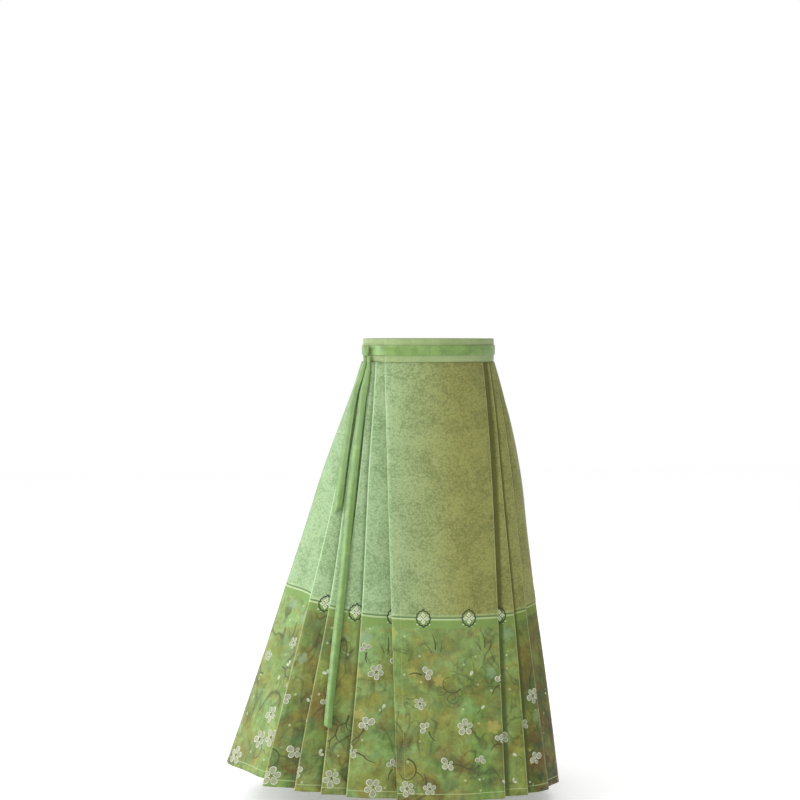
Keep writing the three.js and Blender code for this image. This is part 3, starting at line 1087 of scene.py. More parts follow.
@dataclass(frozen=True)
class ClothFinish:
    """The skirt's jacquard: plain sage above the border line, and painted washes below it, with painted
    shade on the right side and under the pleats, and painted highlights along the folds' edges.
    """

    name: str = "Sage jacquard"
    light: Colour = colour(160, 186, 140)
    shade: Colour = colour(120, 148, 100)
    # The sage on the right side, darker and warmer: painted shade for the side turned from the light.
    warm_light: Colour = colour(150, 152, 84)
    warm_shade: Colour = colour(114, 118, 60)
    line: Colour = colour(186, 204, 150)
    groove: Colour = colour(80, 114, 66)
    stripe: Colour = colour(120, 150, 76)
    leaf: Colour = colour(112, 142, 66)
    pale: Colour = colour(134, 166, 102)
    olive: Colour = colour(134, 136, 58)
    bark: Colour = colour(96, 74, 34)
    moss: Colour = colour(54, 72, 40)
    ochre: Colour = colour(152, 142, 62)
    # Tints by side: the right's is painted shade, darker and warmer; the left's leaves the colour as it is.
    shaded_side_tint: Colour = (0.88, 0.77, 0.42, 1.0)
    lit_side_tint: Colour = (1.0, 1.0, 1.0, 1.0)
    # Painted highlight along the edges: this colour on the right side and below the border, the next on the
    # lit left side above it.
    edge: Colour = colour(196, 204, 140)
    lit_edge_highlight: Colour = colour(186, 222, 168)
    ghost_yellow: Colour = colour(186, 174, 96)
    ghost_blue: Colour = colour(140, 168, 142)
    fleck: Colour = colour(206, 212, 164)
    # The faint print's ink, which is also the painted shade under the pleats on the left; the two after it
    # are the painted shade on the right.
    ink_and_painted_shade: Colour = colour(60, 60, 30)
    warm_painted_shade: Colour = colour(76, 76, 12)
    green_painted_shade: Colour = colour(66, 82, 26)

    def build(self) -> bpy.types.Material:
        """Builds the material.

        Returns:
            The material, which reads the piece's flat places and its distances to a fold's edge and to
            the pleat that covers it.
        """
        material, kit, shader = new_material(self.name)
        place = kit.add("UVMap", uv_map="flat").outputs["UV"]
        split = kit.add("SeparateXYZ", {"Vector": place}).outputs
        across, down = split["X"], split["Y"]
        spot = kit.add("SeparateXYZ", {"Vector": kit.add("TexCoord").outputs["Object"]}).outputs["X"]
        # Painted light and shade by side: 0 on the left, towards the light, and 1 on the right, in shade.
        shaded_side = kit.step(spot, -0.17, 0.06)
        side = kit.blend(kit.step(spot, 0.03, 0.25), self.lit_side_tint, self.shaded_side_tint)
        below = kit.step(down, (BORDER_DOWN + 1.5) * MM, (BORDER_DOWN + 2.5) * MM)
        weave = kit.add("Group", {"Place": place}, node_tree=weave_group()).outputs
        upper = kit.blend(kit.step(weave["Tone"], 0.38, 0.64),
                          kit.blend(shaded_side, self.shade, self.warm_shade),
                          kit.blend(shaded_side, self.light, self.warm_light))
        # The print takes the right side's painted shade.
        painted = kit.blend(1.0, self.painted(kit, place, across, down), side, "MULTIPLY")
        shown = self.border(kit, place, down, side, kit.blend(below, upper, painted))
        shown = self.painted_edge_highlight(kit, place, shaded_side, below, shown)
        kit.fill(shader, {
            "Base Color": self.tucked(kit, across, shaded_side, below, shown),
            "Roughness": kit.total(0.50, (weave["Tone"], 0.26)),
            "Normal": kit.bump(weave["Height"], 0.55, 0.0006),
            "Sheen Weight": 0.12, "Sheen Roughness": 0.5, "Specular IOR Level": 0.35,
        })
        return material

    def painted(self, kit: Palette, place: Socket, across: Socket, down: Socket) -> Socket:
        """Returns the painted ground with the faint print on it."""
        depth = kit.add("MapRange", {"Value": down, "From Min": BORDER_DOWN * MM,
                                     "From Max": CLOTH_LENGTH * MM}).outputs["Result"]
        drift = self.drift(kit, across).outputs
        wash = kit.add("Group", {
            "Place": place, "Depth": depth, "Leaf": self.leaf, "Pale": self.pale, "Olive": self.olive,
            "Bark": self.bark, "Ochre": self.ochre, "Moss": self.moss,
            "Browner": drift["Red"], "Paler": drift["Green"],
        }, node_tree=watercolour_group())
        return kit.add("Group", {
            "Place": place, "Depth": depth, "Ground": wash.outputs["Color"], "Yellow": self.ghost_yellow,
            "Blue": self.ghost_blue, "Ink": self.ink_and_painted_shade, "Bark": self.bark, "Fleck": self.fleck,
        }, node_tree=ghost_group()).outputs["Color"]

    def border(self, kit: Palette, place: Socket, down: Socket, side: Socket, shown: Socket) -> Socket:
        """Returns the colour shown, with the border's stripe and lines and the hem's line on it."""
        mottled = kit.total(0.6, (kit.noise(place, 40.0, 3.0), 0.4))
        # The stripe and lines take the right side's painted shade too.
        for band, tint, share in ((STRIPE, self.stripe, mottled), (GROOVE, self.groove, 0.95),
                                  (UPPER_LINE, self.line, 0.296), (LOWER_LINE, self.line, 0.74)):
            shown = kit.blend(kit.times(band.mask(kit, down), share), shown,
                              kit.blend(1.0, tint, side, "MULTIPLY"))
        return kit.blend(kit.times(HEM_LINE.mask(kit, down), 0.5), shown, self.line)

    def painted_edge_highlight(self, kit: Palette, place: Socket, shaded_side: Socket, below: Socket, shown: Socket) -> Socket:
        """Returns the colour shown, with a painted highlight along each folded and free edge, cooler, wider
        and stronger on the lit left side above the border.
        """
        lit_upper = kit.times(kit.flip(shaded_side), kit.flip(below))
        highlight_strength = kit.total(0.08, (lit_upper, 0.24), (kit.noise(place, 30.0, 2.0), 0.62))
        edge = kit.total(kit.add("Attribute", attribute_name="edge").outputs["Fac"], (lit_upper, -0.35))
        return kit.blend(kit.times(kit.flip(kit.step(edge, 0.3, 1.7)), highlight_strength), shown,
                         kit.blend(lit_upper, self.edge, self.lit_edge_highlight))

    def tucked(self, kit: Palette, across: Socket, shaded_side: Socket, below: Socket, shown: Socket) -> Socket:
        """Returns the colour shown, with painted shade where the cloth goes under the pleat beside it,
        reaching further on the right side.
        """
        cover = kit.add("Attribute", attribute_name="cover").outputs["Fac"]
        # On the right the painted shade reaches further past the covering edge, most near the front panel.
        wide = kit.total(9.0, (kit.step(across, 0.47, 0.43), 8.0))
        tuck_shade_share = kit.add("MapRange", {
            "Value": kit.math("SUBTRACT", cover, kit.times(shaded_side, wide)), "From Min": -3.0,
            "From Max": kit.total(10.0, (shaded_side, -7.5)), "To Min": 1.0, "To Max": 0.0,
        }).outputs["Result"]
        # The painted shade's colour: the print's ink on the left, warm olive on the right above the border
        # and green below it.
        ink_and_painted_shade = kit.blend(shaded_side, self.ink_and_painted_shade, kit.blend(below, self.warm_painted_shade, self.green_painted_shade))
        return kit.blend(kit.times(tuck_shade_share, kit.total(0.70, (shaded_side, 0.08))), shown, ink_and_painted_shade)

    def drift(self, kit: Palette, across: Socket) -> bpy.types.Node:
        """Adds the print's slow change round the skirt.

        Args:
            kit: The material's nodes.
            across: The place across the flat cloth, in metres.

        Returns:
            A node whose red is how much browner, and whose green is how much paler, the print is.
        """
        low, high = PRINT_DRIFT[0][0], PRINT_DRIFT[-1][0]
        share = kit.add("MapRange", {"Value": across, "From Min": low * MM, "From Max": high * MM})
        ramp = kit.add("ValToRGB", {"Fac": share.outputs["Result"]})
        stops = ramp.color_ramp.elements
        for flat, brown, pale in PRINT_DRIFT:
            ends = {low: stops[0], high: stops[-1]}
            stop = ends.get(flat) or stops.new((flat - low) / (high - low))
            stop.color = (brown, pale, 0.0, 1.0)
        return kit.add("SeparateColor", {"Color": ramp.outputs["Color"]})


# Where each kind of stroke's noise starts, its scale, the stroke's width and its strength.
STROKES = ((5.2, 2.9, 10.0, 0.018, 0.66), (1.6, 7.3, 15.0, 0.034, 0.46), (9.3, 4.4, 24.0, 0.034, 0.46))


def ghost_group() -> bpy.types.NodeTree:
    """Builds the faint printed blossoms, twigs, curls and flecks that lie between the sewn ones."""

    def build(kit: Palette, start: bpy.types.Node) -> dict[str, Socket]:
        """Adds the faint print's nodes."""
        given = start.outputs
        place = given["Place"]
        cells = kit.cells(place, 11.5, 0.8)
        offset = kit.sum_of("VectorMath", "SUBTRACT", (place, cells.outputs["Position"])).outputs[0]
        local = kit.add("SeparateXYZ", {"Vector": offset}).outputs
        radius = kit.sum_of("VectorMath", "LENGTH", (offset,)).outputs["Value"]
        turn = kit.math("ARCTAN2", local["Y"], local["X"])
        pick = kit.add("SeparateColor", {"Color": cells.outputs["Color"]}).outputs
        lobes = kit.math("ABSOLUTE", kit.math("COSINE", kit.total(0.0, (turn, 2.5), (pick["Red"], 6.0))))
        reach = kit.times(kit.total(0.55, (kit.math("POWER", lobes, 0.6), 0.45)),
                          kit.total(0.007, (pick["Green"], 0.008)))
        ghost = kit.times(kit.step(kit.math("SUBTRACT", reach, radius), -0.0022, 0.0030),
                          kit.step(pick["Green"], 0.30, 0.75), 0.46)
        hue = kit.blend(kit.step(pick["Blue"], 0.52, 0.54), given["Yellow"], given["Blue"])
        shown = kit.blend(ghost, given["Ground"], hue)
        wavy = kit.total(radius, (kit.noise(place, 45.0, 2.0), 0.008))
        coil = kit.math("SINE", kit.total(turn, (wavy, 800.0)))
        near = kit.times(kit.flip(kit.step(wavy, 0.014, 0.032)),
                         kit.flip(kit.step(pick["Green"], 0.10, 0.34)))
        rose = kit.times(near, kit.step(given["Depth"], 0.45, 0.75), 0.55)
        shown = kit.blend(rose, shown, given["Bark"])
        shown = kit.blend(kit.times(kit.step(coil, 0.1, 0.9), near, 0.5), shown, given["Ink"])
        for x, y, size, wide, share in STROKES:
            path = kit.noise(kit.shift(place, (x, y, 0.0), (1.0, 0.7, 1.0)), size, 2.0, 0.45, 0.6)
            off = kit.math("ABSOLUTE", kit.math("SUBTRACT", path, 0.5))
            patch = kit.step(kit.noise(kit.shift(place, (y, x, 0.0)), 9.0, 3.0, 0.5), 0.47, 0.60)
            stroke = kit.times(kit.flip(kit.step(off, 0.002, wide)), patch, share)
            shown = kit.blend(stroke, shown, given["Ink"])
        scatter = kit.cells(place, 34.0, 1.0).outputs
        chosen = kit.add("SeparateColor", {"Color": scatter["Color"]}).outputs["Red"]
        fleck = kit.times(kit.step(scatter["Distance"], 0.12, 0.05), kit.step(chosen, 0.72, 0.80), 0.5)
        return {"Color": kit.blend(fleck, shown, given["Fleck"])}

    takes: Takes = {
        "Place": ("Vector", None), "Depth": ("Float", 0.5),
        **dict.fromkeys(("Ground", "Yellow", "Blue", "Ink", "Bark", "Fleck"), ("Color", None)),
    }
    return group("Faint print", takes, {"Color": "Color"}, build)


@dataclass(frozen=True)
class ThreadFinish:
    """A sewing or embroidery thread, or the satin of the ribbon."""

    name: str
    shade: Colour
    light: Colour
    roughness: float = 0.55
    sheen: float = 0.3
    fibre: float = 900.0
    # How much painted shade darkens the cloth where it turns away from the light at a crease.
    turned: float = 0.0

    def build(self) -> bpy.types.Material:
        """Builds the material.

        Returns:
            The material, which reads object coordinates and how far the cloth turns away at a crease, where
            it paints shade on the side turned from the light.
        """
        material, kit, shader = new_material(self.name)
        place = kit.add("TexCoord").outputs["Object"]
        fibre = kit.noise(kit.shift(place, (0, 0, 0), (1.0, 1.0, 0.35)), self.fibre, 3.0, 0.6, 0.4)
        tone = kit.total(0.0, (fibre, 0.6), (kit.noise(place, 60.0, 2.0), 0.4))
        away = kit.add("Attribute", attribute_name="away").outputs["Fac"]
        # Painted shade: darker where the cloth turns away from the light.
        lit = kit.total(kit.step(tone, 0.34, 0.66), (away, -self.turned))
        kit.fill(shader, {
            "Base Color": kit.blend(lit, self.shade, self.light),
            "Roughness": kit.total(self.roughness - 0.1, (fibre, 0.2)),
            "Normal": kit.bump(fibre, 0.5, 0.0003), "Sheen Weight": self.sheen,
        })
        return material


PETAL_OUTLINE = ThreadFinish("Petal outline thread", colour(190, 198, 166), colour(222, 228, 200))
PETAL_FILL = ThreadFinish("Petal filling thread", colour(132, 138, 108), colour(166, 168, 140))
BUD_FILL = ThreadFinish("Bud filling thread", colour(176, 186, 150), colour(206, 212, 180))
HEART = ThreadFinish("Blossom heart thread", colour(66, 74, 44), colour(104, 108, 66))
TWIG = ThreadFinish("Twig thread", colour(52, 60, 20), colour(78, 82, 34), sheen=0.1)
RING = ThreadFinish("Medallion ring thread", colour(34, 48, 20), colour(54, 68, 30), sheen=0.1)
FOIL = ThreadFinish("Medallion petal thread", colour(186, 204, 162), colour(214, 226, 190))
STITCH = ThreadFinish("Topstitch thread", colour(156, 170, 104), colour(188, 198, 134))
# The ribbon's satin, with painted shade on the half of each end past its crease.
SATIN = ThreadFinish("Ribbon satin", colour(96, 130, 60), colour(134, 166, 90), roughness=0.42, turned=0.5)


class Thread(Enum):
    """The threads of the embroidery, in the order of its material slots."""

    OUTLINE = 0
    FILL = 1
    BUD = 2
    HEART = 3
    TWIG = 4
    RING = 5
    FOIL = 6
    STITCH = 7


THREAD_FINISHES = {
    Thread.OUTLINE: PETAL_OUTLINE, Thread.FILL: PETAL_FILL, Thread.BUD: BUD_FILL, Thread.HEART: HEART,
    Thread.TWIG: TWIG, Thread.RING: RING, Thread.FOIL: FOIL, Thread.STITCH: STITCH,
}


@dataclass(frozen=True)
class PetalSize:
    """One petal: how far its middle lies from the blossom's, its length, width and height."""

    reach: float
    length: float
    width: float
    height: float = 0.9
    outline: float = 0.11
    sides: int = 14


class MotifKit:
    """Builds sewn motifs lying flat, in millimetres: x across the cloth, y up it, z off it."""

    SUNK = 0.2

    def __init__(self) -> None:
        """Starts with no motifs."""
        self.bm = bmesh.new()

    def finish(self, name: str) -> bpy.types.Mesh:
        """Returns the motif as a mesh, and frees the working one."""
        mesh = bpy.data.meshes.new(name)
        self.bm.to_mesh(mesh)
        self.bm.free()
        return mesh

    def petal(self, turn: float, size: PetalSize, rim: Thread, fill: Thread) -> None:
        """Adds a petal: a low closed cap with a raised rim.

        Args:
            turn: The direction from the blossom's middle, in radians.
            size: The petal's sizes.
            rim: The thread of its rim.
            fill: The thread inside the rim.
        """
        cone = bmesh.ops.create_cone(self.bm, cap_ends=True, segments=size.sides, radius1=1.0,
                                     radius2=0.9, depth=1.0)
        verts = set(cone["verts"])
        faces = {face for vert in verts for face in vert.link_faces}
        for face in faces:
            face.material_index = rim.value
        top = max(faces, key=lambda face: face.calc_center_median().z)
        bmesh.ops.inset_individual(self.bm, faces=[top], thickness=size.outline, depth=0.0)
        top.material_index = fill.value
        bmesh.ops.inset_individual(self.bm, faces=[top], thickness=0.08, depth=-0.3)
        poked = bmesh.ops.poke(self.bm, faces=[top])
        verts.update(vert for face in poked["faces"] for vert in face.verts)
        verts.update(edge.other_vert(vert) for vert in list(verts) for edge in vert.link_edges)
        for vert in verts:
            x, y, z = vert.co
            along = size.reach + x * size.length / 2
            across = y * size.width / 2 * (0.84 + 0.2 * x)
            vert.co = (
                along * math.cos(turn) - across * math.sin(turn),
                along * math.sin(turn) + across * math.cos(turn),
                self.SUNK + (z + 0.5) * size.height,
            )

    def dark_outline_and_shade(self, turn: float, size: PetalSize, margin: float) -> None:
        """Adds a low dark patch that shows as a thin line round a petal: partly a drawn outline and partly
        painted shade round the raised petal.
        """
        wide = 1 + margin / (size.width / 2)
        self.petal(turn, PetalSize(size.reach, size.length + 2 * margin, size.width * wide, 0.25, 0.02, 10),
                   Thread.TWIG, Thread.TWIG)

    def dot(self, x: float, y: float, radius: float, thread: Thread, height: float = 0.9) -> None:
        """Adds a small round knot of thread."""
        cone = bmesh.ops.create_cone(self.bm, cap_ends=True, segments=8, radius1=radius,
                                     radius2=radius * 0.55, depth=height)
        for vert in cone["verts"]:
            for face in vert.link_faces:
                face.material_index = thread.value
            vert.co += Vector((x, y, self.SUNK + height / 2))

    def strip(self, path: Sequence[tuple[float, float]], width: float, thread: Thread,
              tapered: bool = False, height: float = 0.7) -> None:
        """Adds a closed raised line of thread.

        Args:
            path: The points that it follows. A ring's last point is its first.
            width: Its width in the middle.
            thread: The thread.
            tapered: Whether it thins towards its last end. Else it is widest in its middle.
            height: How high it stands off the cloth.
        """
        spans = len(path) - 1
        ring = math.dist(path[0], path[-1]) < 1e-6
        grid = bmesh.ops.create_grid(self.bm, x_segments=spans, y_segments=4, size=0.5)
        corners = ((-0.5, 0.0), (-0.28, 1.0), (0.28, 1.0), (0.5, 0.0), (-0.5, 0.0))
        for vert in grid["verts"]:
            k = round((vert.co.x + 0.5) * spans)
            c = round((vert.co.y + 0.5) * 4)
            if ring:
                before, after = path[(k - 1) % spans], path[(k + 1) % spans]
                share = 1.0
            else:
                before, after = path[max(k - 1, 0)], path[min(k + 1, spans)]
                part = k / spans
                share = mix(1.0, 0.35, part) if tapered else math.sin(math.pi * part) ** 0.5
                if k in (0, spans):
                    share = 0.0
            run = Vector((after[0] - before[0], after[1] - before[1])).normalized()
            side, rise = corners[c]
            vert.co = (
                path[k][0] - run.y * side * width * share,
                path[k][1] + run.x * side * width * share,
                self.SUNK + rise * height * min(share * 2, 1.0),
            )
            for face in vert.link_faces:
                face.material_index = thread.value
        bmesh.ops.remove_doubles(self.bm, verts=grid["verts"], dist=1e-5)


def spoke(turn: float, reaches: Iterable[float]) -> list[tuple[float, float]]:
    """Returns points at distances from the middle, in a direction in radians."""
    return [(reach * math.cos(turn), reach * math.sin(turn)) for reach in reaches]


def blossom_mesh(petals: Sequence[tuple[float, float]], spread: float = 1.0,
                 stem: Sequence[tuple[float, float]] = ()) -> bpy.types.Mesh:
    """Builds a blossom.

    Args:
        petals: Each petal's direction in degrees and its size as a share of a full one.
        spread: How far its petals stand apart, as a share of a full blossom.
        stem: The points of the twig that it grows on.

    Returns:
        The motif.
    """
    kit = MotifKit()
    for turn, share in petals:
        size = PetalSize(9.4 * spread * share, 13.4 * share, 12.8 * share)
        kit.petal(math.radians(turn), size, Thread.OUTLINE, Thread.FILL)
        kit.dark_outline_and_shade(math.radians(turn), size, 0.9)
    if stem:
        kit.strip(curve_points(stem, 5), 5.0, Thread.TWIG, tapered=True, height=0.4)
    kit.dot(0.0, 0.0, 1.7, Thread.HEART)
    for turn, share in petals:
        line = spoke(math.radians(turn + 36), [reach * share for reach in (0.8, 4.4, 9.6)])
        kit.strip(line, 1.5, Thread.HEART, tapered=True, height=0.5)
    return kit.finish("blossom")


def bud_mesh(petals: Sequence[float], size: float) -> bpy.types.Mesh:
    """Builds a bud: a few pale petals held by a short dark stem.

    Args:
        petals: Each petal's direction in degrees.
        size: The length of one petal.

    Returns:
        The motif.
    """
    kit = MotifKit()
    for turn in petals:
        kit.petal(math.radians(turn), PetalSize(size * 0.62, size, size * 0.72), Thread.OUTLINE, Thread.BUD)
    kit.strip([(0, 0.5), (0.6, -size * 0.4), (0.2, -size * 0.9), (-1.2, -size * 1.5)], 1.5, Thread.TWIG)
    return kit.finish("bud")


def seed_mesh() -> bpy.types.Mesh:
    """Builds two small pale knots side by side."""
    kit = MotifKit()
    kit.dot(0.0, 0.0, 2.6, Thread.BUD)
    kit.dot(6.5, 4.0, 1.3, Thread.BUD)
    return kit.finish("seed")


def medallion_mesh() -> bpy.types.Mesh:
    """Builds a medallion: a wavy dark ring round four pale petals, with dots under it."""
    kit = MotifKit()
    steps = 96
    ring = []
    for k in range(steps + 1):
        turn = 2 * math.pi * k / steps
        wave = 1.7 * abs(math.cos(6 * turn)) + (1.8 if k % 48 in (23, 24, 25) else 0.0)
        ring.append(((13.0 + wave) * math.cos(turn), (14.6 + wave) * math.sin(turn)))
    ring[-1] = ring[0]
    kit.strip(ring, 2.9, Thread.RING, height=0.9)
    for k in range(4):
        turn = math.pi / 2 * k
        kit.petal(turn, PetalSize(6.6, 12.6, 12.4, 0.8, 0.3, 4), Thread.FOIL, Thread.BUD)
        kit.dot(6.8 * math.cos(turn), 6.8 * math.sin(turn), 0.9, Thread.TWIG, 1.3)
        turn += math.pi / 4
        kit.strip(spoke(turn, (1.0, 5.0, 9.4)), 1.3, Thread.RING)
    for turn, radius in ((222, 1.9), (248, 1.1), (292, 1.1), (318, 1.9)):
        angle = math.radians(turn)
        kit.dot(17.4 * math.cos(angle), 18.6 * math.sin(angle), radius, Thread.FOIL)
    return kit.finish("medallion")


def curve_points(points: Sequence[tuple[float, float]], steps: int) -> list[tuple[float, float]]:
    """Rounds off a line of points.

    Args:
        points: The points to pass through.
        steps: How many spans each stretch gets.

    Returns:
        Points on a smooth curve through them.
    """
    curve = []
    for i in range(len(points) - 1):
        p0, p1 = points[max(i - 1, 0)], points[i]
        p2, p3 = points[i + 1], points[min(i + 2, len(points) - 1)]
        for k in range(steps):
            t = k / steps
            curve.append(tuple(
                0.5 * (2 * b + (c - a) * t + (2 * a - 5 * b + 4 * c - d) * t**2
                       + (3 * b - a - 3 * c + d) * t**3)
                for a, b, c, d in zip(p0, p1, p2, p3)
            ))
    curve.append(tuple(points[-1]))
    return curve


def twig_mesh(stem: Sequence[tuple[float, float]], branches: Sequence[Sequence[tuple[float, float]]],
              width: float) -> bpy.types.Mesh:
    """Builds a twig with side branches.

    Args:
        stem: The points that its stem passes through.
        branches: The points of each branch.
        width: The stem's width.

    Returns:
        The motif.
    """
    kit = MotifKit()
    kit.strip(curve_points(stem, 5), width, Thread.TWIG, tapered=True, height=0.5)
    for branch in branches:
        kit.strip(curve_points(branch, 4), width * 0.66, Thread.TWIG, tapered=True, height=0.45)
    return kit.finish("twig")


class Motif(Enum):
    """The sewn motifs."""

    BLOSSOM = "blossom"
    SIDE_BLOSSOM = "side blossom"
    SMALL_BLOSSOM = "small blossom"
    HALF_BLOSSOM = "half blossom"
    BUD = "bud"
    TWIN_BUD = "twin bud"
    SEED = "seed"
    MEDALLION = "medallion"
    BOUGH = "bough"
    SPRIG = "sprig"
    HOOK = "hook"
    GRASS = "grass"


class MotifBook:
    """Holds each motif's mesh once, for all the pieces that it is sewn on."""

    def __init__(self) -> None:
        """Builds the motifs."""
        self.meshes = {
            Motif.BLOSSOM: blossom_mesh([(93, 1.02), (20, 0.92), (-52, 1.0), (-128, 1.08), (164, 0.96)]),
            Motif.SIDE_BLOSSOM: blossom_mesh([(98, 1.12), (172, 1.0), (-108, 0.98), (-28, 0.62)], 0.86,
                                             [(4, -6), (12, -18), (16, -32), (26, -46)]),
            Motif.SMALL_BLOSSOM: blossom_mesh(
                [(90, 0.74), (18, 0.7), (-54, 0.72), (-126, 0.74), (162, 0.7)]),
            Motif.HALF_BLOSSOM: blossom_mesh([(84, 0.92), (148, 0.84), (22, 0.8)], 0.92,
                                             [(0, -4), (-8, -14), (-10, -26)]),
            Motif.BUD: bud_mesh([90], 8.6),
            Motif.TWIN_BUD: bud_mesh([58, 128], 8.4),
            Motif.SEED: seed_mesh(),
            Motif.MEDALLION: medallion_mesh(),
            Motif.BOUGH: twig_mesh(
                [(-34, -16), (-20, -6), (-4, -9), (10, 2), (24, 6), (36, 20)],
                [[(-20, -6), (-16, 6), (-20, 18)], [(-4, -9), (2, -20), (12, -26)],
                 [(10, 2), (12, 14), (6, 26)], [(24, 6), (34, 2), (42, -6)]], 5.4),
            Motif.SPRIG: twig_mesh(
                [(0, -26), (-3, -12), (3, 2), (0, 16), (6, 28)],
                [[(-3, -12), (-12, -4), (-16, 8)], [(3, 2), (12, 8), (16, 18)]], 4.4),
            Motif.HOOK: twig_mesh(
                [(-24, 12), (-10, 20), (6, 16), (14, 2), (8, -12), (-6, -14)],
                [[(6, 16), (18, 22), (30, 20)]], 4.6),
            Motif.GRASS: twig_mesh(
                [(0, -18), (2, -2), (0, 16)],
                [[(-8, -22), (-12, -10), (-20, 2)], [(8, -24), (13, -12), (17, 2)]], 4.2),
        }

    def clear(self) -> None:
        """Removes the meshes, once they are sewn on."""
        for mesh in self.meshes.values():
            bpy.data.meshes.remove(mesh)


Placer = Callable[[float, float, float], Vector]
Sewn = tuple[Motif, float, float, float, float]


class Needlework:
    """Everything sewn onto one piece, as one mesh."""

    def __init__(self, place: Placer) -> None:
        """Starts an empty mesh.

        Args:
            place: Turns a place across and down the cloth and a lift into a point.
        """
        self.place = place
        self.bm = bmesh.new()

    def sew(self, mesh: bpy.types.Mesh, flat: float, down: float, turn: float = 0.0,
            size: float = 1.0) -> None:
        """Sews a motif on.

        Args:
            mesh: The motif, lying flat.
            flat: Distance across the flat cloth.
            down: Distance down the cloth.
            turn: Its turn in degrees.
            size: Its scale.
        """
        start = len(self.bm.verts)
        self.bm.from_mesh(mesh)
        self.bm.verts.ensure_lookup_table()
        cos, sin = math.cos(math.radians(turn)) * size, math.sin(math.radians(turn)) * size
        for vert in self.bm.verts[start:]:
            x, y, z = vert.co
            vert.co = self.place(flat + x * cos - y * sin, down - x * sin - y * cos, z) * MM

    def stitches(self, spots: Iterable[tuple[float, float]], upright: bool, length: float = 3.4,
                 width: float = 0.9) -> None:
        """Sews small separate stitches.

        Args:
            spots: Each stitch's middle, across and down the cloth.
            upright: Whether they run down the cloth, and not across it.
            length: A stitch's length.
            width: Its width.
        """
        for flat, down in spots:
            ball = bmesh.ops.create_icosphere(self.bm, subdivisions=1, radius=0.5)
            for vert in ball["verts"]:
                for face in vert.link_faces:
                    face.material_index = Thread.STITCH.value
                x, y, z = vert.co
                along, across = (y, x) if upright else (x, y)
                step = (across * width, along * length) if upright else (along * length, across * width)
                vert.co = self.place(flat + step[0], down + step[1], 0.45 + z * 0.7) * MM

    def to_object(self, name: str) -> bpy.types.Object:
        """Makes the needlework an object, with every thread's material."""
        finishes = [finish_of(THREAD_FINISHES[thread]) for thread in Thread]
        return to_object(name, self.bm, finishes)


@lru_cache(maxsize=None)
def finish_of(finish: ThreadFinish | ClothFinish) -> bpy.types.Material:
    """Builds a finish once, and returns its material."""
    return finish.build()


def dress(obj: bpy.types.Object, *nodes: str, slot: str | None = None) -> bpy.types.Object:
    """Puts a finished piece in the frame.

    Args:
        obj: The piece.
        *nodes: The CAD nodes that it stands for.
        slot: Not used.

    Returns:
        The piece.
    """
    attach(obj, "root")
    if nodes:
        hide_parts(*nodes)
    obj.data.calc_loop_triangles()
    log.info("%s: %d triangles", obj.name, len(obj.data.loop_triangles))
    return obj


@dataclass
class Layout:
    """Where the sewn motifs lie on the flat cloth, in an order of the maker's own."""

    seed: int = 41
    medallions: dict[Side, tuple[float, ...]] = field(default_factory=lambda: {
        Side.RIGHT: (66, 160, 311, 405, 545, 781, 887, 1061, 1173, 1284, 1399),
        Side.LEFT: (-163, -324, -430, -608, -990, -1086, -1180, -1317, -1491, -1645, -1815, -1911),
    })
    rows: tuple[float, ...] = (612.0, 668.0, 722.0, 778.0, 832.0, 884.0)
    pitch: float = 70.0
    twig_rows: tuple[float, ...] = (604.0, 690.0, 770.0, 850.0)
    twig_pitch: float = 96.0

    def blossoms(self, low: float, high: float) -> list[Sewn]:
        """Scatters blossoms and buds.

        Args:
            low: The lowest place across the cloth.
            high: The highest place across the cloth.

        Returns:
            Each motif, its place across and down the cloth, its turn and its size.
        """
        chance = random.Random(self.seed)
        kinds = (Motif.BLOSSOM, Motif.SIDE_BLOSSOM, Motif.BUD, Motif.SMALL_BLOSSOM, Motif.TWIN_BUD,
                 Motif.HALF_BLOSSOM, Motif.SEED)
        weights = (26, 18, 12, 10, 12, 13, 14)
        found = []
        for i, down in enumerate(self.rows):
            at = -LAYOUT_REACH + (i % 2) * self.pitch / 2
            while at < LAYOUT_REACH:
                kind = chance.choices(kinds, weights)[0]
                place = (at + chance.uniform(-19, 19), down + chance.uniform(-17, 17))
                turn, size = chance.uniform(-70, 70), chance.uniform(1.02, 1.26)
                kept = chance.random() < (0.78 if i else 0.5)
                if kept and low - 30 < place[0] < high + 30:
                    found.append((kind, *place, turn, size))
                at += self.pitch
        return found

    def twigs(self, low: float, high: float) -> list[Sewn]:
        """Scatters twigs, and grass under the border line.

        Args:
            low: The lowest place across the cloth.
            high: The highest place across the cloth.

        Returns:
            Each motif, its place across and down the cloth, its turn and its size.
        """
        chance = random.Random(self.seed + 1)
        found = []
        for i, down in enumerate(self.twig_rows):
            at = -LAYOUT_REACH + i * 37
            while at < LAYOUT_REACH:
                kind = chance.choice((Motif.BOUGH, Motif.SPRIG, Motif.HOOK)) if i else Motif.GRASS
                place = (at + chance.uniform(-26, 26), down + chance.uniform(-20, 20))
                turn = chance.uniform(-14, 14) if kind is Motif.GRASS else chance.uniform(0, 360)
                size = chance.uniform(0.7, 1.1)
                if chance.random() < (0.34 if i else 0.75) and low - 40 < place[0] < high + 40:
                    found.append((kind, *place, turn, size))
                at += self.twig_pitch
        return found


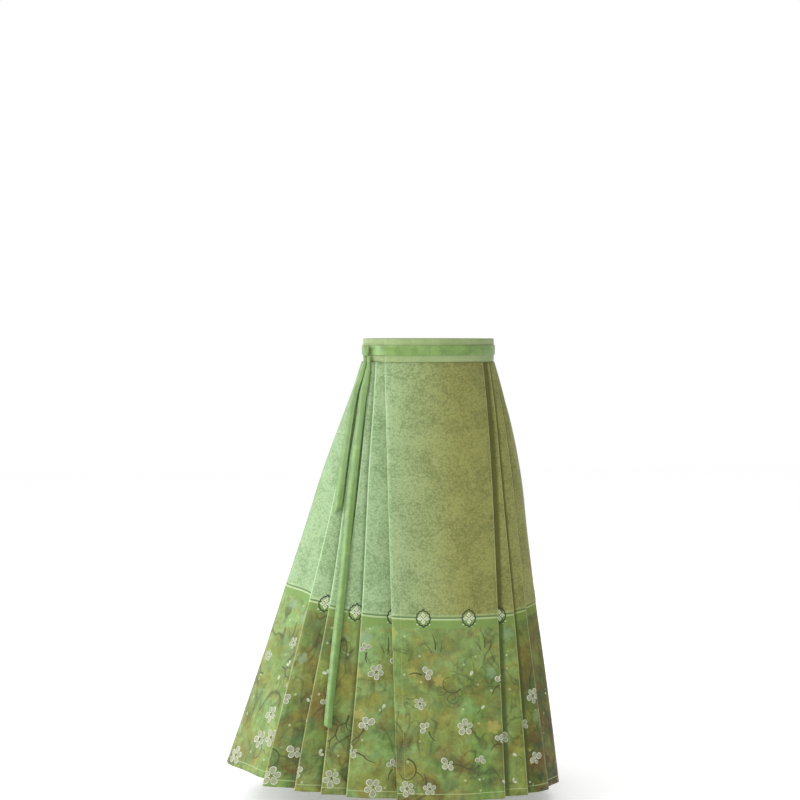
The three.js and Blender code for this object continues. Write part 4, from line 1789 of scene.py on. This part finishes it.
@dataclass
class SkirtHalf:
    """One overlapping half of the skirt: a front panel, a side of pleats and a back panel.

    Its flat cloth is measured from the front panel's free edge: rising round the right side, and
    falling round the left.
    """

    side: Side
    front: Corner
    back: Corner
    creases: tuple[Crease, ...] = ()
    hem_stitch: float = 14.0
    edge_stitch: float = 19.0
    stitch_pitch: float = 5.2
    total: float = field(init=False)

    def __post_init__(self) -> None:
        """Works out the folded path and the cloth's whole width."""
        self.front_pleating = Pleating(self.front)
        self.back_pleating = Pleating(self.back)
        self.total = self.front_pleating.flats[-1] + self.back_pleating.flats[-1]
        log.info("%s half: %.0f mm of cloth round the hem", self.side.value, self.total)

    def pieces(self) -> dict[str, list[Run]]:
        """Returns the runs of each cut piece, by the name of its CAD node."""
        front_place, back_place = ("outer" if corner.outer else "inner"
                                   for corner in (self.front, self.back))
        pleats = [Run(pleating, False, self.total) for pleating in (self.front_pleating, self.back_pleating)]
        if self.side is Side.LEFT:
            pleats.reverse()
        return {
            f"front_panel_{front_place}": [Run(self.front_pleating, True, self.total)],
            f"pleats_{self.side.value}": pleats,
            f"back_panel_{back_place}": [Run(self.back_pleating, True, self.total)],
        }

    def build(self, book: MotifBook, layout: Layout) -> None:
        """Builds the half's cloth with all that is sewn on it.

        Args:
            book: The motifs.
            layout: Where they lie.
        """
        for node, runs in self.pieces().items():
            grid = ClothGrid(runs, self.creases)
            cloth = to_object(f"{node}_cloth", grid.mesh(), [finish_of(ClothFinish())])
            solidify(cloth, CLOTH_THICKNESS)
            dress(cloth, node, slot="skirt_cloth")
            sewn = self.sew(grid, node, book, layout)
            width, area = grid.cut()
            log.info("%s: cut %.3f m wide at the hem, %.3f square metres", node, width, area)

    def sew(self, grid: ClothGrid, node: str, book: MotifBook, layout: Layout) -> bpy.types.Object:
        """Sews the motifs and topstitching onto one piece.

        Args:
            grid: The piece.
            node: Its CAD node.
            book: The motifs.
            layout: Where they lie.

        Returns:
            The needlework.
        """
        work = Needlework(grid.place)
        low, high = grid.span()
        for flat in layout.medallions[self.side]:
            if low < flat < high:
                work.sew(book.meshes[Motif.MEDALLION], flat, grid.border(flat) - 1)
        for kind, flat, down, turn, size in (*layout.twigs(low, high), *layout.blossoms(low, high)):
            if grid.shows(flat, down, 16) and low + 12 < flat < high - 12:
                work.sew(book.meshes[kind], flat, min(down, CLOTH_LENGTH - 22), turn, size)
        hem = CLOTH_LENGTH - self.hem_stitch
        count = int((high - low - 6) / self.stitch_pitch)
        spots = [(low + 4 + self.stitch_pitch * k, hem) for k in range(count)]
        work.stitches([spot for spot in spots if grid.shows(*spot)], upright=False)
        if "panel" in node:
            at_front = node.startswith("front")
            free = 0.0 if at_front else self.side.sign * self.total
            inward = self.side.sign if at_front else -self.side.sign
            rows = int((CLOTH_LENGTH - 12) / self.stitch_pitch)
            line = free + inward * self.edge_stitch
            work.stitches([(line, 4 + self.stitch_pitch * k) for k in range(rows)], upright=True)
        return dress(work.to_object(f"{node}_needlework"), slot="skirt_cloth")


@dataclass
class Waistband:
    """The folded band that winds round the waist once and laps over the front."""

    lap_inner: float = 87.0
    lap_outer: float = 112.0
    thickness: float = 2.2
    bulge: float = 0.4
    span: float = 5.0
    corner: float = 0.9
    stitch_rows: tuple[float, ...] = (-20.0, 20.0)
    stitch_pitch: float = 4.6

    def __post_init__(self) -> None:
        """Measures the waist."""
        ring = ring_at(0.0)
        self.round = ring.half(Side.LEFT) + ring.half(Side.RIGHT)
        self.travel = self.round + self.lap_inner + self.lap_outer

    def out(self, travel: float) -> float:
        """Returns how far out the band's middle lies, a distance along it from its inner end."""
        return mix(-BAND_WINDING / 2, BAND_WINDING / 2, travel / self.travel)

    def point(self, travel: float, out: float, height: float) -> Vector:
        """Places a point along the band, out from the waist and up from the band's middle."""
        ring = ring_at(0.0)
        arc = self.lap_inner - travel
        while arc < -ring.half(Side.LEFT):
            arc += self.round
        point = ring.at(Side.RIGHT, arc, out)
        return Vector((point.x, point.y, height))

    def section(self, width: float, thickness: float) -> list[tuple[float, float]]:
        """Returns a band's rounded section: out and up, all round."""
        half, deep = width / 2, thickness / 2
        heights = [half * k / 5 for k in range(-5, 6)]
        heights[0] += self.corner * 0.3
        heights[-1] -= self.corner * 0.3

        def face(sign: int) -> list[tuple[float, float]]:
            """Returns one face of the band, which swells in its middle and thins at its edges."""
            swells = (self.bulge * (1 - (height / half) ** 2) for height in heights)
            thins = (0.62 if abs(height) > half * 0.95 else 1.0 for height in heights)
            return [(swell + sign * deep * thin, height)
                    for swell, thin, height in zip(swells, thins, heights)]

        return [*face(1), (0.0, half), *reversed(face(-1)), (0.0, -half)]

    def wall(self, start: float, end: float, out_at: Callable[[float], float],
             section: Sequence[tuple[float, float]]) -> bmesh.types.BMesh:
        """Runs a closed section along the band.

        Args:
            start: Where it starts, along the band.
            end: Where it ends.
            out_at: How far out its middle lies at a place along the band.
            section: The section's points, out and up.

        Returns:
            The closed mesh, with its flat places as UVs.
        """
        columns = max(round((end - start) / self.span), 2)
        sides = len(section)
        bm, place = start_grid(columns, sides)
        write_flat(bm, place, lambda k, row: (mix(start, end, k / columns), section[-row % sides][1]))
        for vert, (k, row) in place.items():
            travel = mix(start, end, k / columns)
            out, up = section[-row % sides]
            vert.co = self.point(travel, out_at(travel) + out, up) * MM
        bmesh.ops.remove_doubles(bm, verts=bm.verts, dist=1e-7)
        bmesh.ops.holes_fill(bm, edges=[edge for edge in bm.edges if edge.is_boundary], sides=0)
        bmesh.ops.recalc_face_normals(bm, faces=bm.faces)
        return bm

    def build(self) -> None:
        """Builds the band and its topstitching."""
        section = self.section(BAND_HEIGHT, self.thickness)
        band = to_object("waistband_cloth", self.wall(0.0, self.travel, self.out, section),
                         [finish_of(BandFinish())])
        dress(band, "waistband", slot="band_cloth")

        def place(flat: float, down: float, lift: float) -> Vector:
            """Places a stitch on the band's outer face."""
            swell = self.bulge * (1 - (down / (BAND_HEIGHT / 2)) ** 2)
            return self.point(flat, self.out(flat) + self.thickness / 2 + swell + lift - 0.4, -down)

        work = Needlework(place)
        count = int((self.travel - 12) / self.stitch_pitch)
        for row in self.stitch_rows:
            work.stitches([(6 + self.stitch_pitch * k, row) for k in range(count)], upright=False)
        for end in (5.0, self.travel - 5.0):
            work.stitches([(end, -18 + self.stitch_pitch * k) for k in range(8)], upright=True)
        sewn = dress(work.to_object("waistband_stitching"), slot="band_cloth")


@dataclass(frozen=True)
class BandFinish:
    """The waistband's plain cotton."""

    name: str = "Waistband cotton"
    light: Colour = colour(156, 174, 120)
    shade: Colour = colour(132, 152, 98)

    def build(self) -> bpy.types.Material:
        """Builds the material.

        Returns:
            The material.
        """
        material, kit, shader = new_material(self.name)
        place = kit.add("UVMap", uv_map="flat").outputs["UV"]
        weave = kit.add("Group", {"Place": place}, node_tree=weave_group()).outputs
        tone = kit.total(0.0, (weave["Tone"], 0.5), (kit.noise(place, 26.0, 3.0), 0.5))
        kit.fill(shader, {
            "Base Color": kit.blend(kit.step(tone, 0.3, 0.65), self.shade, self.light),
            "Normal": kit.bump(weave["Height"], 0.5, 0.0005), "Roughness": 0.74, "Sheen Weight": 0.2,
        })
        return material


@dataclass(frozen=True)
class TailCut:
    """One hanging end of the ribbon: its places at the knot and below it, and its length."""

    node: str
    knot: float
    lane: float
    over: int
    to: float
    slant: float
    sway: float


@dataclass
class Ribbon:
    """The tie: a loop round the band, a soft knot at the left, and two hanging ends."""

    band: Waistband
    width: float = 22.0
    thickness: float = 1.0
    rest: float = 1.0
    crease: float = 2.4
    knot_arc: float = 158.0
    knot_size: tuple[float, float, float] = (26.0, 11.0, 22.0)
    knot_pinch: float = 0.28
    slope: float = 0.116
    lay: float = 3.2
    gathered: float = 0.45
    open_length: float = 90.0
    turned: float = 0.7
    stand: float = 3.2
    row: float = 9.0
    tails: tuple[TailCut, ...] = (
        TailCut("tie_tail_long", 152, 155, 2, 772, 2, 2.0),
        TailCut("tie_tail_short", 165, 181, 3, 330, -7, 1.2),
    )

    def out(self, travel: float) -> float:
        """Returns how far out the loop lies, which is on the band's outermost layer."""
        lap = self.band.lap_inner + self.band.lap_outer
        outer = self.band.out(self.band.round + min(travel, lap))
        ease = smooth((travel - lap) / 26)
        lift = (BAND_THICKNESS + 1.2) / 2 + self.rest
        return mix(outer, self.band.out(max(travel, lap)), ease) + lift

    def build(self) -> None:
        """Builds the loop, the knot and both ends."""
        start = self.band.lap_inner + self.knot_arc + SEAM_GAP
        turn = self.band.round

        def out_at(travel: float) -> float:
            """Returns how far out the loop lies past its first turn too."""
            return self.out(travel - turn if travel > turn else travel)

        section = self.band.section(self.width, self.thickness)
        mesh = self.band.wall(start, start + turn - 2 * SEAM_GAP, out_at, section)
        loop = dress(to_object("tie_loop_satin", mesh, [finish_of(SATIN)]), "tie_loop", slot="ribbon")
        self.knot()
        for tail in self.tails:
            self.tail(tail)

    def knot(self) -> None:
        """Builds the knot: a soft lump, pinched in its middle, with the wrap's folds across it."""
        wide, deep, tall = self.knot_size
        ring = ring_at(0.0)
        back = self.out(self.band.lap_inner + self.knot_arc) + 0.6 + self.band.bulge + SEAM_GAP
        middle = ring.at(Side.LEFT, self.knot_arc, back + deep / 2)
        middle.z = 0.0
        inside = ring.at(Side.LEFT, self.knot_arc, 0.0)
        outward = Vector((middle.x - inside.x, middle.y - inside.y, 0)).normalized()
        along = Vector((-outward.y, outward.x, 0))
        bm = bmesh.new()
        bmesh.ops.create_uvsphere(bm, u_segments=48, v_segments=36, radius=1.0)
        for vert in bm.verts:
            x, y, z = vert.co.x, vert.co.z, vert.co.y
            pinch = 1 - self.knot_pinch * (1 - abs(y)) ** 4
            slanted = x + 0.3 * y
            wrap = math.exp(-(slanted / 0.42) ** 4)
            folds = mix(0.055 * math.sin(9 * (y - 0.5 * x)), 0.045 * math.sin(13 * slanted), wrap)
            swell = 0.84 + 0.11 * wrap + folds
            offset = along * (x * pinch * swell * wide / 2) + outward * (z * swell * deep / 2)
            vert.co = (middle + offset + Vector((0, 0, y * swell * tall / 2))) * MM
        bmesh.ops.recalc_face_normals(bm, faces=bm.faces)
        knot = dress(to_object("tie_knot_satin", bm, [finish_of(SATIN)]), "tie_knot", slot="ribbon")

    def tail(self, tail: TailCut) -> None:
        """Builds one hanging end: gathered under the knot, then widening, with a soft fold.

        Args:
            tail: Its sizes.
        """
        start = -BAND_HEIGHT / 2 + self.knot_size[2] / 2 + SEAM_GAP
        rows = round((tail.to - start) / self.row)
        columns = 12
        bm, place = start_grid(columns, rows, "away")
        turned_shade_layer = bm.verts.layers.float["away"]
        for vert, (c, k) in place.items():
            down = mix(start, tail.to, k / rows)
            part = c / columns * 2 - 1
            open_share = smooth((down - start) / self.open_length)
            turned = max(down, 0) / CLOTH_LENGTH
            wide = mix(self.gathered, 1, open_share) * mix(1, self.turned, turned) * self.width / 2
            step = FRONT_LEFT.folds[tail.over].step
            highest = mix(FOLDING.waist_step, step, fall(down)) / 2
            lay = max(highest + self.lay, mix(self.knot_size[1] / 2 + 1, 0, open_share))
            centre = mix(tail.knot, tail.lane + self.slope * max(down, 0), open_share)
            centre += tail.sway * math.sin(down / 92) * fall(down)
            crease = self.crease + self.stand * turned
            fold = crease * math.cos(math.pi * (part + 0.15) / 2.3) ** 2
            gathers = (1 - open_share) * 0.8 * math.sin(3 * math.pi * part)
            ripple = 0.7 * open_share * math.sin(down / 46 + 1.6 * part)
            near_end = max(0.0, 1 - (tail.to - down) / 24)
            at = down - tail.slant * part * near_end
            point = ring_at(round(min(at, CLOTH_LENGTH), 1)).at(Side.LEFT, centre + wide * part,
                                                                lay + fold + gathers + ripple)
            vert.co = point * MM
            # Painted shade on the half of the end past its crease, turned away from the light.
            vert[turned_shade_layer] = smooth((0.25 - part) / 0.6) * open_share
        write_flat(bm, place, lambda c, k: (c / columns * self.width, mix(start, tail.to, k / rows)))
        obj = to_object(f"{tail.node}_satin", bm, [finish_of(SATIN)])
        solidify(obj, self.thickness)
        dress(obj, tail.node, slot="ribbon")


@dataclass
class Studio:
    """A plain pale floor, soft light, and the camera at the photograph's angle."""

    floor: float = -0.972
    camera_place: tuple[float, float, float] = (-0.6860, -3.9412, 0.052)
    camera_heading: float = 9.0
    camera_fall: float = 2.31
    lens: float = 82.6
    ambient: float = 0.34

    def build(self) -> None:
        """Builds the floor, the lights and the camera."""
        bm = bmesh.new()
        bmesh.ops.create_grid(bm, x_segments=1, y_segments=1, size=9.0)
        for vert in bm.verts:
            vert.co.z = self.floor
        material, kit, shader = new_material("Studio floor")
        kit.fill(shader, {"Base Color": (0.97, 0.97, 0.97, 1), "Roughness": 0.9,
                          "Emission Color": (1.0, 1.0, 1.0, 1), "Emission Strength": 0.31})
        to_object("studio_floor", bm, [material])
        world = bpy.data.worlds.new("Studio")
        world.use_nodes = True
        kit = Palette(world.node_tree)
        seen = kit.add("LightPath").outputs["Is Camera Ray"]
        kit.fill(world.node_tree.nodes["Background"], {
            "Color": (1.0, 1.0, 1.0, 1), "Strength": kit.total(self.ambient, (seen, 1 - self.ambient))})
        bpy.context.scene.world = world
        self.light("key_light", (-2.9, -1.5, 1.6), 1.7, 46, (0.97, 1.0, 0.98))
        self.light("side_light", (-2.8, 0.7, 0.2), 1.6, 34, (0.90, 0.98, 1.0))
        self.light("front_light", (-0.6, -3.8, 0.9), 1.8, 22, (1.0, 0.99, 0.93))
        self.light("back_light", (1.0, 3.4, 1.6), 2.0, 26, (1.0, 1.0, 1.0))
        sun = bpy.data.lights.new("ceiling_light", "SUN")
        sun.energy = 1.2
        sun.angle = math.radians(70)
        ceiling = bpy.data.objects.new("ceiling_light", sun)
        ceiling.rotation_euler = (0, math.radians(-12), 0)
        bpy.context.collection.objects.link(ceiling)
        camera = bpy.data.objects.new("camera", bpy.data.cameras.new("camera"))
        bpy.context.collection.objects.link(camera)
        turn, drop = math.radians(self.camera_heading), math.radians(self.camera_fall)
        look = Vector((math.sin(turn) * math.cos(drop), math.cos(turn) * math.cos(drop), -math.sin(drop)))
        camera.location = self.camera_place
        camera.rotation_euler = look.to_track_quat("-Z", "Y").to_euler()
        camera.data.lens = self.lens
        camera.data.sensor_width = 36
        bpy.context.scene.camera = camera
        bpy.context.scene.view_settings.view_transform = "Standard"

    def light(self, name: str, place: tuple[float, float, float], size: float, power: float,
              tint: tuple[float, float, float]) -> None:
        """Adds a square soft light that faces the skirt.

        Args:
            name: Its name.
            place: Where it stands.
            size: Its side.
            power: Its power in watts.
            tint: Its colour.
        """
        lamp = bpy.data.lights.new(name, "AREA")
        lamp.size = size
        lamp.energy = power
        lamp.color = tint
        obj = bpy.data.objects.new(name, lamp)
        obj.location = place
        aim = Vector((0, 0, -0.5)) - Vector(place)
        obj.rotation_euler = aim.to_track_quat("-Z", "Y").to_euler()
        bpy.context.collection.objects.link(obj)


RIGHT_CREASES: tuple[Crease, ...] = (
    Crease(60, 56, 60, 700, 46, -2.6),
    Crease(128, 152, 140, 910, 54, 3.6),
    Crease(34, 46, 520, 910, 32, -2.6),
    Crease(196, 184, 320, 910, 30, -2.4),
    Crease(326, 322, 420, 910, 26, -1.8),
    Crease(452, 448, 500, 910, 30, 2.2),
    Crease(588, 584, 440, 910, 34, -2.2),
    Crease(700, 676, 200, 910, 56, -4.6),
    Crease(764, 744, 160, 910, 54, 4.4),
    Crease(812, 812, 260, 910, 52, -4.6),
    Crease(868, 884, 180, 910, 56, 4.4),
    Crease(920, 946, 240, 910, 50, -4.2),
    Crease(970, 1004, 320, 910, 44, 3.8),
    Crease(1145, 1140, 480, 910, 32, 2.0),
    Crease(1256, 1250, 420, 910, 34, -2.2),
    Crease(1386, 1380, 380, 910, 38, 2.4),
)
LEFT_CREASES: tuple[Crease, ...] = (
    Crease(-204, -196, 360, 910, 34, 2.2),
    Crease(-334, -330, 420, 910, 30, -2.2),
    Crease(-468, -460, 400, 910, 34, 2.4),
    Crease(-618, -604, 360, 910, 40, -2.8),
    Crease(-760, -702, 170, 910, 60, -5.6),
    Crease(-820, -776, 220, 910, 58, 5.4),
    Crease(-880, -856, 150, 910, 64, -6.0),
    Crease(-940, -934, 240, 910, 60, 5.8),
    Crease(-1004, -1016, 170, 910, 64, -5.8),
    Crease(-1066, -1094, 220, 910, 60, 5.4),
    Crease(-1130, -1172, 180, 910, 58, -5.2),
    Crease(-1190, -1244, 300, 910, 46, 4.2),
    Crease(-1330, -1324, 380, 910, 40, -2.6),
    Crease(-1496, -1490, 440, 910, 36, 2.4),
    Crease(-1650, -1644, 400, 910, 34, -2.4),
    Crease(-1930, -1926, 80, 720, 44, -2.4),
    Crease(-1850, -1836, 160, 910, 52, 3.4),
    Crease(-1796, -1802, 340, 910, 32, -2.4),
)


def main() -> None:
    """Builds the skirt in its frame, and the studio round it."""
    logging.basicConfig(level=logging.INFO, format="%(name)s: %(message)s")
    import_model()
    Studio().build()
    book = MotifBook()
    layout = Layout()
    halves = (
        SkirtHalf(Side.RIGHT, FRONT_RIGHT, BACK_RIGHT, RIGHT_CREASES),
        SkirtHalf(Side.LEFT, FRONT_LEFT, BACK_LEFT, LEFT_CREASES),
    )
    for half in halves:
        half.build(book, layout)
    book.clear()
    band = Waistband()
    band.build()
    Ribbon(band).build()


if __name__ == "__main__":
    main()
